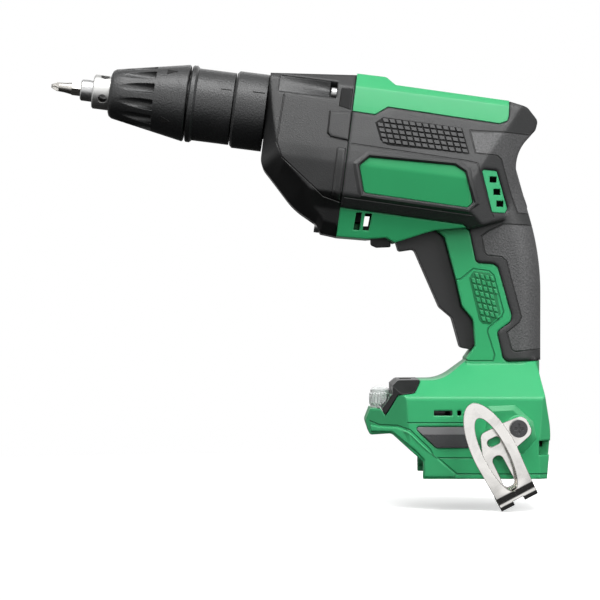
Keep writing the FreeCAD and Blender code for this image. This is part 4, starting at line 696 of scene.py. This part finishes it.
def touch(skin, x, z, side):
    """Point and outward normal where a line across the tool meets a skin; x and z in millimetres."""
    start = Vector((x * MM, side * TOUCH_PROBE, z * MM))
    spot, normal = skin.ray_cast(start, Vector((0, -side, 0)))[:2]
    if spot is None:
        return None, None
    return spot, normal if normal.y * side > 0 else -normal


def widened(outline, out):
    """Closed outline moved outwards by a distance, corner for corner."""
    count = len(outline)
    turn = sum(outline[i - 1][0] * outline[i][1] - outline[i][0] * outline[i - 1][1] for i in range(count))
    hand = 1 if turn > 0 else -1
    moved = []
    for i in range(count):
        corner = Vector(outline[i])
        before = (corner - Vector(outline[i - 1])).normalized()
        after = (Vector(outline[(i + 1) % count]) - corner).normalized()
        lean = Vector((before.y + after.y, -before.x - after.x)) * hand
        moved.append(tuple(corner + lean * (out / (1 + before.dot(after)))))
    return moved


def divided(outline, like):
    """Points along a closed outline; each side gets as many as the same side of another outline needs."""
    points = []
    for i in range(len(outline)):
        a, b = Vector(outline[i]), Vector(outline[(i + 1) % len(outline)])
        length = (Vector(like[(i + 1) % len(like)]) - Vector(like[i])).length
        count = max(1, int(length / OUTLINE_STEP))
        points += [a.lerp(b, k / count) for k in range(count)]
    return points


def touch_round(skin, outline, out, side):
    """Points and normals on a skin along an outline that is moved outwards."""
    return [touch(skin, x, z, side) for x, z in divided(widened(outline, out), outline)]


def rings_piece(name, rings, material, body, capped, crease=RING_CREASE):
    """Closed piece through rings of points; capped closes its ends, else the last ring meets the first."""
    bm = bmesh.new()
    loops = [[bm.verts.new(point) for point in ring] for ring in rings]
    pairs = list(zip(loops, loops[1:])) + ([] if capped else [(loops[-1], loops[0])])
    for near, far in pairs:
        for i in range(len(near)):
            bm.faces.new((near[i - 1], near[i], far[i], far[i - 1]))
    if capped:
        bm.faces.new(list(reversed(loops[0])))
        bm.faces.new(loops[-1])
    bmesh.ops.recalc_face_normals(bm, faces=bm.faces)
    return keep(name, bm, material, body, crease)


def raised_pad(name, outline, skin, side, material, bevel, lift=0.0, flat=None):
    """Low pad with a sunk rim; its top follows the skin at a lift, or is flat at a width from the middle."""
    base = touch_round(skin, outline, bevel, side)
    top = []
    for x, z in divided(outline, outline):
        spot, normal = touch(skin, x, z, side)
        top.append(Vector((x * MM, side * flat, z * MM)) if flat else spot + normal * lift)
    low = [spot - normal * PAD_SINK for spot, normal in base]
    rim = [spot + normal * PAD_RIM for spot, normal in base]
    return rings_piece(name, [low, rim, top], material, HOUSING, True)


def raised_strip(name, upper, lower, lifts, skin, side, material, slot):
    """Pad in rows from an upper edge to a lower edge, which stands off by its two lifts in millimetres."""
    rings = []
    for row in range(STRIP_ROWS + 1):
        share = row / STRIP_ROWS
        left = Vector(upper[0]).lerp(Vector(lower[0]), share)
        right = Vector(upper[1]).lerp(Vector(lower[1]), share)
        lift = lifts[0] + (lifts[1] - lifts[0]) * share
        crest = [(across, lift) for across in STRIP_CREST]
        ring = []
        for across, rise in [(0, -STRIP_SINK), (0, 0), *crest, (1, 0), (1, -STRIP_SINK)]:
            spot, normal = touch(skin, *left.lerp(right, across), side)
            ring.append(spot + normal * rise * MM)
        rings.append(ring)
    return rings_piece(name, rings, material, HOUSING, True)


def ridge_frame(name, outline, skin, side, material):
    """Bevelled frame round a sunk plate."""
    outer = touch_round(skin, outline, FRAME_OUTER, side)
    crest = touch_round(skin, outline, FRAME_CREST, side)
    inner = touch_round(skin, outline, FRAME_INNER, side)
    wall = []
    for (spot, normal), (x, z) in zip(inner, divided(widened(outline, FRAME_WALL), outline)):
        wall.append(Vector((x * MM, spot.y, z * MM)) - normal * FRAME_SINK)
    rings = [
        [spot - normal * FRAME_SINK for spot, normal in outer],
        [spot for spot, normal in outer],
        [spot + normal * FRAME_CREST_RISE for spot, normal in crest],
        [spot + normal * FRAME_INNER_RISE for spot, normal in inner],
        wall,
        [point - normal * FRAME_BACK for point, (spot, normal) in zip(wall, inner)],
    ]
    return rings_piece(name, rings, material, HOUSING, False)


def knob_tree():
    """Field of small tapered knobs on points that carry their facing and their row's direction."""
    tree = bpy.data.node_groups.new("knob field", "GeometryNodeTree")
    face = tree.interface
    face.new_socket("Geometry", in_out="INPUT", socket_type="NodeSocketGeometry")
    for label in ("Width", "Length", "Rise", "Taper", "Lean"):
        face.new_socket(label, in_out="INPUT", socket_type="NodeSocketFloat")
    face.new_socket("Material", in_out="INPUT", socket_type="NodeSocketMaterial")
    face.new_socket("Geometry", in_out="OUTPUT", socket_type="NodeSocketGeometry")
    given = tree.nodes.new("NodeGroupInput").outputs
    size = add(tree, "ShaderNodeCombineXYZ", given["Width"], given["Length"], given["Rise"]).outputs[0]
    block = add(tree, "GeometryNodeMeshCube", size).outputs[0]
    place = tree.nodes.new("GeometryNodeInputPosition").outputs[0]
    spot = add(tree, "ShaderNodeSeparateXYZ", place).outputs
    high = maths(tree, "GREATER_THAN", spot[2], 0.0)
    shrink = maths(tree, "SUBTRACT", 1.0, times(tree, high, given["Taper"]))
    wide = times(tree, spot[0], shrink)
    long = times(tree, spot[1], shrink)
    leant = maths(tree, "ADD", wide, times(tree, long, given["Lean"]))
    proud = maths(tree, "ADD", spot[2], times(tree, given["Rise"], KNOB_PROUD))
    shape = add(tree, "ShaderNodeCombineXYZ", leant, long, proud).outputs[0]
    knob = add(tree, "GeometryNodeSetPosition", block, named={"Position": shape}).outputs[0]
    facing = add(tree, "GeometryNodeInputNamedAttribute", "facing", data_type="FLOAT_VECTOR").outputs[0]
    along = add(tree, "GeometryNodeInputNamedAttribute", "along", data_type="FLOAT_VECTOR").outputs[0]
    up = add(tree, "FunctionNodeAlignRotationToVector", axis="Z", named={"Vector": facing}).outputs[0]
    turn = add(tree, "FunctionNodeAlignRotationToVector", axis="X", pivot_axis="Z",
               named={"Rotation": up, "Vector": along}).outputs[0]
    points = add(tree, "GeometryNodeMeshToPoints", given["Geometry"]).outputs[0]
    spread_out = add(tree, "GeometryNodeInstanceOnPoints", points,
                     named={"Instance": knob, "Rotation": turn}).outputs[0]
    whole = add(tree, "GeometryNodeRealizeInstances", spread_out).outputs[0]
    painted = add(tree, "GeometryNodeSetMaterial", whole, named={"Material": given["Material"]}).outputs[0]
    add(tree, "NodeGroupOutput", painted)
    return tree


KNOBS = knob_tree()


def knob_field(name, places, material, slot, **sizes):
    """Plain mesh of the knob field; places are (point, facing, along)."""
    mesh = bpy.data.meshes.new(name + "_points")
    mesh.from_pydata([place[0] for place in places], [], [])
    for label, k in (("facing", 1), ("along", 2)):
        layer = mesh.attributes.new(label, "FLOAT_VECTOR", "POINT")
        layer.data.foreach_set("vector", [number for place in places for number in place[k]])
    source = bpy.data.objects.new(name + "_points", mesh)
    bpy.context.scene.collection.objects.link(source)
    field = source.modifiers.new("knobs", "NODES")
    field.node_group = KNOBS
    values = dict(sizes, Material=material)
    for item in KNOBS.interface.items_tree:
        if item.in_out == "INPUT" and item.name in values:
            field[item.identifier] = values[item.name]
    shown = source.evaluated_get(bpy.context.evaluated_depsgraph_get())
    made = bpy.data.meshes.new_from_object(shown)
    bpy.data.objects.remove(source)
    bm = bmesh.new()
    bm.from_mesh(made)
    bpy.data.meshes.remove(made)
    return keep(name, bm, material, HOUSING)


def inside(outline, x, z):
    """Whether a side place lies inside an outline."""
    odd = False
    for (x0, z0), (x1, z1) in zip(outline, outline[1:] + outline[:1]):
        if (z0 > z) != (z1 > z) and x < x0 + (z - z0) * (x1 - x0) / (z1 - z0):
            odd = not odd
    return odd


def grid_places(outline, skin, side, rows, columns, along_row, down_column, start):
    """Knob places on a slanted grid inside an outline: (point, facing, along)."""
    places = []
    for i in range(rows):
        for j in range(columns):
            spot = Vector(start) + Vector(along_row) * j + Vector(down_column) * i
            point, facing = touch(skin, spot.x, spot.y, side)
            if point and inside(outline, spot.x, spot.y):
                along = Vector((along_row[0], 0, along_row[1]))
                places.append((point, facing, along - facing * along.dot(facing)))
    return places


# Upper screw way of the gear cover, across the drive axis: its two lips (out, up), its slope inwards, its
# hollow as (share across, share of depth), its run along the axis and its depth at both ends
WAY_UPPER = Vector((15.3, 18.9))
WAY_LOWER = Vector((19.5, 10.7))
WAY_INWARD = Vector((-0.77, -0.64))
WAY_HOLLOW = [(0, 0), (0.12, 0.75), (0.28, 1.0), (0.45, 0.88), (0.65, 0.62), (0.85, 0.33), (1, 0.12)]
WAY_RUN = (4.4, 30.2)
WAY_DEPTH = (0.2, 2.9)
WAY_STEPS = 12
WAY_SINK = 0.25
WAY_THICK = 0.5
WAY_CREASE = 50.0


def screw_way(name, side):
    """Hollow floor of a screw way, which deepens from the front to the screw."""
    rings = []
    for step in range(WAY_STEPS + 1):
        share = step / WAY_STEPS
        x = WAY_RUN[0] + (WAY_RUN[1] - WAY_RUN[0]) * share
        depth = WAY_DEPTH[0] + (WAY_DEPTH[1] - WAY_DEPTH[0]) * share
        face = [WAY_UPPER.lerp(WAY_LOWER, across) + WAY_INWARD * (WAY_SINK + depth * hollow)
                for across, hollow in WAY_HOLLOW]
        back = [spot + WAY_INWARD * WAY_THICK for spot in reversed(face)]
        rings.append([AXIS_POINT + (AXIS_REAR * x + AXIS_UP * spot.y + Vector((0, side * spot.x, 0))) * MM
                      for spot in face + back])
    # The floor takes the nose finish, lighter and glossier than the gear cover, a painted highlight for its
    # lit floor.
    return rings_piece(name, rings, NOSE, HOUSING, True, WAY_CREASE)


# Dark sheet behind each vent insert, a stand-in for the shade inside the housing: its gap, thickness and
# share of the insert's outline
SHADE_SHEET_GAP = 0.0008
SHADE_SHEET_THICK = 0.0006
SHADE_SHEET_SHARE = 0.86


def vent_shade_sheet(word, side):
    """Dark sheet close behind a vent insert, which stands in for the shade behind its windows."""
    points = [vertex.co for vertex in frame["nodes"]["vent_insert_" + word].data.vertices]
    middle = sum(points, Vector()) / len(points)
    near = min(abs(point.y) for point in points) - SHADE_SHEET_GAP
    flat = [Vector((point.x, point.z)) for point in points]
    edge = [middle.xz.lerp(flat[i], SHADE_SHEET_SHARE) for i in geometry.convex_hull_2d(flat)]
    rings = [[Vector((spot.x, side * out, spot.y)) for spot in edge] for out in (near - SHADE_SHEET_THICK, near)]
    return rings_piece("vent_shade_sheet_" + word, rings, SEAL, HOUSING, True)


# Outlines on the skins, as seen from the side, in millimetres
GRIP_PAD = axis_places((54.9, 0.8), (58.1, 3.5), (96.6, 3.1), (101.1, -8.1), (61.9, -9.1), (58.2, -7.1))
HANDLE_PAD = [(-8.2, 98.0), (-6.0, 101.3), (1.7, 100.2), (3.1, 98.4), (7.0, 80.6), (2.0, 75.4),
              (-1.8, 75.8), (-3.3, 77.6)]
PLATE = axis_places((49.0, -21.4), (53.5, -16.7), (95.5, -15.3), (100.9, -18.0), (106.6, -32.2),
                    (104.2, -35.2), (53.0, -34.4))
BOSS = [(1.7, 33.0), (11.8, 33.4), (19.3, 26.6), (20.4, 20.5), (15.6, 15.0), (5.3, 12.0), (0.5, 19.0)]
FOOT_RIM = [(-56.8, 25.3), (-53.0, 24.6), (-44.4, 24.6), (-39.3, 22.8), (-29.9, 13.9), (-17.2, 3.0),
            (-16.8, 1.2), (-31.0, 1.2), (-31.2, 9.4), (-35.2, 13.6), (-41.4, 18.9), (-46.4, 22.9),
            (-56.6, 22.6)]
COVER_STRIP = [axis_places((37.1, -14.2), (41.6, -13.8)), axis_places((37.3, -37.6), (41.6, -39.0))]
COVER_CORNER = [axis_places((35.6, 15.6), (41.5, 15.9)), axis_places((35.4, 7.0), (41.5, 5.7))]
COVER_BLOCK = axis_places((31.6, 3.4), (41.8, 4.2), (41.8, -9.6), (33.6, -8.8), (31.8, -7.2))
STRIP_LIFTS = (0.7, 0.7)
CORNER_LIFTS = (1.7, 0.2)
GRIP_FLOOR_OUT = 0.3
BOSS_FACE = 0.03722
HANDLE_SCREW = (0.0045, 0.078)
HANDLE_SCREW_ROOM = 0.0056

# Knob grids: rows, columns, step along a row, step to the next row and first knob
GRIP_GRID = (5, 16, axis_step(3.3, 0), axis_step(1.02, -2.53), axis_places((52.6, 2.4))[0])
HANDLE_GRID = (9, 7, (2.52, -0.55), (0.82, -3.15), (-9.64, 100.5))
GRIP_KNOB = {"Width": 0.0027, "Length": 0.0020, "Rise": 0.0009, "Taper": 0.1}
GRIP_LEAN = 0.4
HANDLE_KNOB = {"Width": 0.0020, "Length": 0.0024, "Rise": 0.0008, "Taper": 0.22}
HANDLE_LEAN = 0.5


def clear_of_screw(place):
    """Whether a knob place leaves room for the housing screw in the handle."""
    across = math.hypot(place[0].x - HANDLE_SCREW[0], place[0].z - HANDLE_SCREW[1])
    return across > HANDLE_SCREW_ROOM


for side, word in ((-1, "left"), (1, "right")):
    grip = skin_of("grip_cover_" + word)
    shell = skin_of("housing_" + word)
    cover = skin_of("gear_cover")
    # A near-black sheet under the grip knobs, a painted shade between them
    raised_pad("grip_pad_shade_" + word, widened(GRIP_PAD, GRIP_FLOOR_OUT), grip, side, GROOVE,
               bevel=0.3, lift=0.00005)
    places = grid_places(GRIP_PAD, grip, side, *GRIP_GRID)
    knob_field("grip_knobs_" + word, places, RUBBER_KNOB, "soft_grip", **GRIP_KNOB, Lean=GRIP_LEAN * side)
    places = grid_places(HANDLE_PAD, shell, side, *HANDLE_GRID)
    if word == "left":
        # On the left, a dark green sheet under the handle knobs, a painted shade between them
        raised_pad("handle_pad_shade_" + word, HANDLE_PAD, shell, side, GREEN_PAD_SHADE,
                   bevel=0.3, lift=0.00006)
    else:
        places = [place for place in places if clear_of_screw(place)]
    knob_field("handle_knobs_" + word, places, CAP_GREEN, "shell_green", **HANDLE_KNOB,
               Lean=HANDLE_LEAN * side)
    ridge_frame("plate_frame_" + word, PLATE, grip, side, RUBBER_KNOB)
    raised_pad("hook_boss_" + word, BOSS, shell, side, CAP_GREEN, bevel=2.6, flat=BOSS_FACE)
    raised_pad("cover_block_" + word, COVER_BLOCK, cover, side, COVER, bevel=0.4,
               lift=0.0005)
    raised_strip("cover_strip_" + word, *COVER_STRIP, STRIP_LIFTS, cover, side, COVER, "cover_black")
    raised_strip("cover_corner_" + word, *COVER_CORNER, CORNER_LIFTS, cover, side, PANEL, "cover_black")
    screw_way("screw_way_" + word, side)
    vent_shade_sheet(word, side)
    raised_pad("foot_rim_" + word, FOOT_RIM, shell, side, GREEN, bevel=0.5, lift=0.0006)


# Marks on the round nose: corners are (millimetres along the drive axis, degrees up from the left side)
# and their depth and rise are in metres
MARK_SINK = 0.0004
MARK_RISE = 0.0002
ARROWS = 4
ARROW_ANGLE = 52.0
ARROW_HALF = 6.5
ARROW_RUN = (-51.0, -45.8)
INDEX_ANGLES = (26.2, 27.2)
BARREL_INDEX = (-23.4, -18.0)
COLLAR_INDEX = (-7.6, -1.6)


def round_mark(name, node, corners, material):
    """Thin mark on a round node."""
    skin = skin_of(node)
    low = []
    top = []
    for x, angle in corners:
        out = AXIS_UP * math.sin(math.radians(angle)) - Vector((0, math.cos(math.radians(angle)), 0))
        centre = AXIS_POINT + AXIS_REAR * (x * MM)
        spot = skin.ray_cast(centre + out * MARK_PROBE, -out)[0]
        low.append(spot - out * MARK_SINK)
        top.append(spot + out * MARK_RISE)
    return rings_piece(name, [low, top], material, BODY_OF[node], True)


def index_line(name, node, run):
    """Straight index mark along the drive axis."""
    first, last = INDEX_ANGLES
    corners = [(run[0], first), (run[1], first), (run[1], last), (run[0], last)]
    return round_mark(name, node, corners, GROOVE)


for turn in range(ARROWS):
    angle = ARROW_ANGLE - 360.0 / ARROWS * turn
    tail, tip = ARROW_RUN
    arrow = [(tail, angle - ARROW_HALF), (tip, angle), (tail, angle + ARROW_HALF)]
    round_mark("cone_arrow_%d" % turn, "depth_adjuster", arrow, GROOVE)
index_line("barrel_index", "nose_barrel", BARREL_INDEX)
index_line("collar_index", "neck_collar", COLLAR_INDEX)


# Ribs round the lamp lens: its middle and radius in millimetres, and the ribs' turn in degrees
LENS_MIDDLE = Vector((-51.9, 0, 38.0))
LENS_RADIUS = 4.9
LENS_RIBS = 15
LENS_RIB_START = 61
LENS_RIB_TURN = 17
LENS_RIB = {"Width": 0.0011, "Length": 0.0066, "Rise": 0.0008, "Taper": 0.25, "Lean": 0.0}

places = []
for step in range(LENS_RIBS):
    angle = math.radians(LENS_RIB_START + LENS_RIB_TURN * step)
    out = Vector((math.cos(angle), math.sin(angle), 0))
    places.append((LENS_MIDDLE * MM + out * LENS_RADIUS * MM, out, Vector((-out.y, out.x, 0))))
knob_field("lens_ribs", places, LENS, "lens_clear", **LENS_RIB)


# Low rib across the top cover, in millimetres
RIB_RUN = (-25.5, -6.0)
RIB_STEEP = 0.3
RIB_GENTLE = 3.0
RIB_HALF = 6.0
RIB_RISE = 0.5
RIB_SINK = 0.6


def crown_rib():
    """Rib on the top cover, steep at the front and running out at the rear."""
    crown = skin_of("top_cover")
    front, rear = RIB_RUN
    rings = []
    profile = ((front - RIB_STEEP, 0.0), (front, RIB_RISE), (rear, RIB_RISE), (rear + RIB_GENTLE, 0.0))
    for x, rise in profile:
        spot = crown.ray_cast(Vector((x * MM, 0, CROWN_PROBE)), Vector((0, 0, -1)))[0]
        section = ((-RIB_HALF, -RIB_SINK), (-RIB_HALF, rise), (RIB_HALF, rise), (RIB_HALF, -RIB_SINK))
        rings.append([Vector((spot.x, y * MM, spot.z + lift * MM)) for y, lift in section])
    return rings_piece("crown_rib", rings, CAP_GREEN, HOUSING, True)


# Dark block inside the front slots, which stands in for the shade behind the first of them, in millimetres
SHADE_BLOCK_MIDDLE = Vector((-64.3, 0, 128.4))
SHADE_BLOCK_SIZE = Vector((5.4, 16, 5.2))


def slot_shade_block():
    """Dark block that closes the view through the first of the front slots, a stand-in for the shade behind
    it.
    """
    bm = bmesh.new()
    bmesh.ops.create_cube(bm, size=1.0)
    for vertex in bm.verts:
        vertex.co = (SHADE_BLOCK_MIDDLE + vertex.co * SHADE_BLOCK_SIZE) * MM
    return keep("slot_shade_block", bm, INNER, HOUSING)


crown_rib()
slot_shade_block()


# ---- camera, light and floor

CAMERA_PLACE = (-0.092, -1.4, 0.0872)
CAMERA_LENS = 168
CAMERA_SENSOR = 36
CAMERA_NEAR = 0.01

# Lamps: name, place, aim, size and power
LAMPS = (
    ("top softbox", (-0.1, -0.35, 0.9), (-0.06, 0, 0.1), (1.0, 0.45), 11.5),
    ("front softbox", (-0.6, -1.1, 0.45), (-0.05, 0, 0.1), (0.4, 0.7), 2.4),
    ("rear softbox", (0.7, -0.85, 0.6), (-0.02, 0, 0.12), (0.6, 0.8), 9.0),
    ("far softbox", (-0.05, 0.9, 0.6), (-0.05, 0, 0.1), (1.0, 0.6), 3.0),
)

# Room: two headings and the strengths there, for what the metal and gloss mirror, by height and behind the
# tool, and for the light on all else, by height
MIRROR_HEIGHT = (-0.42, -0.14, 0.03, 1.0)
MIRROR_BEHIND = (0.1, 0.7, 1.0, 0.35)
ROOM_HEIGHT = (-0.4, 0.9, 0.03, 0.22)

FLOOR_RADIUS = 0.6
FLOOR_MIDDLE = -0.03
FLOOR_DROP = 0.0004
FLOOR_FADE = (0.12, 0.5)
FLOOR_FLECK = 40.0
FLOOR_PALE = ((0.93, 0.93, 0.93), (0.96, 0.96, 0.96))
FLOOR_UNSEEN = (0.1, 0.1, 0.1)
FLOOR_GLOW = 0.55
FLOOR_ROUGH = 0.9
FLOOR_SPECULAR = 0.1


def area_light(name, place, aim, size, power):
    lamp = bpy.data.lights.new(name, "AREA")
    lamp.shape = "RECTANGLE"
    lamp.size, lamp.size_y = size
    lamp.energy = power
    holder = bpy.data.objects.new(name, lamp)
    holder.location = place
    holder.rotation_euler = (Vector(aim) - Vector(place)).to_track_quat("-Z", "Y").to_euler()
    bpy.context.scene.collection.objects.link(holder)


def place_camera():
    """Camera that faces the left side of the tool."""
    scene = bpy.context.scene
    scene.view_settings.view_transform = "Standard"
    lens = bpy.data.cameras.new("side camera")
    lens.lens = CAMERA_LENS
    lens.sensor_width = CAMERA_SENSOR
    lens.clip_start = CAMERA_NEAR
    camera = bpy.data.objects.new("side camera", lens)
    camera.location = CAMERA_PLACE
    camera.rotation_euler = (math.pi / 2, 0, 0)
    scene.collection.objects.link(camera)
    scene.camera = camera


def make_room():
    """White room for the camera, the metal and the lens; dimmer as a light on the tool."""
    world = bpy.data.worlds.new("white room")
    bpy.context.scene.world = world
    world.use_nodes = True
    tree = world.node_tree
    tree.nodes.clear()
    path = tree.nodes.new("ShaderNodeLightPath").outputs
    seen = maths(tree, "MAXIMUM", path["Is Camera Ray"], path["Is Transmission Ray"])
    facing = tree.nodes.new("ShaderNodeTexCoord").outputs["Generated"]
    heading = add(tree, "ShaderNodeSeparateXYZ", facing).outputs
    mirrored = times(tree, path["Is Glossy Ray"], spread(tree, heading[2], *MIRROR_HEIGHT))
    mirrored = times(tree, mirrored, spread(tree, heading[1], *MIRROR_BEHIND))
    room = spread(tree, heading[2], *ROOM_HEIGHT)
    strength = maths(tree, "MAXIMUM", maths(tree, "MAXIMUM", seen, mirrored), room)
    sky = add(tree, "ShaderNodeBackground", (1, 1, 1, 1), strength)
    tree.links.new(sky.outputs[0], tree.nodes.new("ShaderNodeOutputWorld").inputs[0])


def make_floor():
    """Pale floor that keeps the shadow, fades outwards and is not seen from below or in the gloss."""
    bm = bmesh.new()
    bmesh.ops.create_circle(bm, cap_ends=True, segments=64, radius=FLOOR_RADIUS)
    mesh = bpy.data.meshes.new("floor")
    bm.to_mesh(mesh)
    bm.free()
    floor = bpy.data.objects.new("floor", mesh)
    floor.location = (FLOOR_MIDDLE, 0, cad_box[0][2] - FLOOR_DROP)
    bpy.context.scene.collection.objects.link(floor)
    material, tree, shader, place = blank("pale_floor")
    away = add(tree, "ShaderNodeVectorMath", place, operation="LENGTH").outputs["Value"]
    fade = spread(tree, away, *FLOOR_FADE)
    path = tree.nodes.new("ShaderNodeLightPath").outputs
    pale = mixed(tree, noise(tree, place, FLOOR_FLECK), *FLOOR_PALE)
    tree.links.new(mixed(tree, path["Is Camera Ray"], FLOOR_UNSEEN, pale), shader.inputs["Base Color"])
    shader.inputs["Emission Color"].default_value = (1, 1, 1, 1)
    tree.links.new(times(tree, path["Is Camera Ray"], FLOOR_GLOW), shader.inputs["Emission Strength"])
    shader.inputs["Roughness"].default_value = FLOOR_ROUGH
    shader.inputs["Specular IOR Level"].default_value = FLOOR_SPECULAR
    open_air = tree.nodes.new("ShaderNodeBsdfTransparent").outputs[0]
    below = tree.nodes.new("ShaderNodeNewGeometry").outputs["Backfacing"]
    unseen = maths(tree, "MAXIMUM", maths(tree, "MAXIMUM", fade, path["Is Glossy Ray"]), below)
    both = add(tree, "ShaderNodeMixShader", unseen, shader.outputs[0], open_air).outputs[0]
    tree.links.new(both, tree.nodes["Material Output"].inputs[0])
    mesh.materials.append(material)


place_camera()
for lamp in LAMPS:
    area_light(*lamp)
make_room()
make_floor()
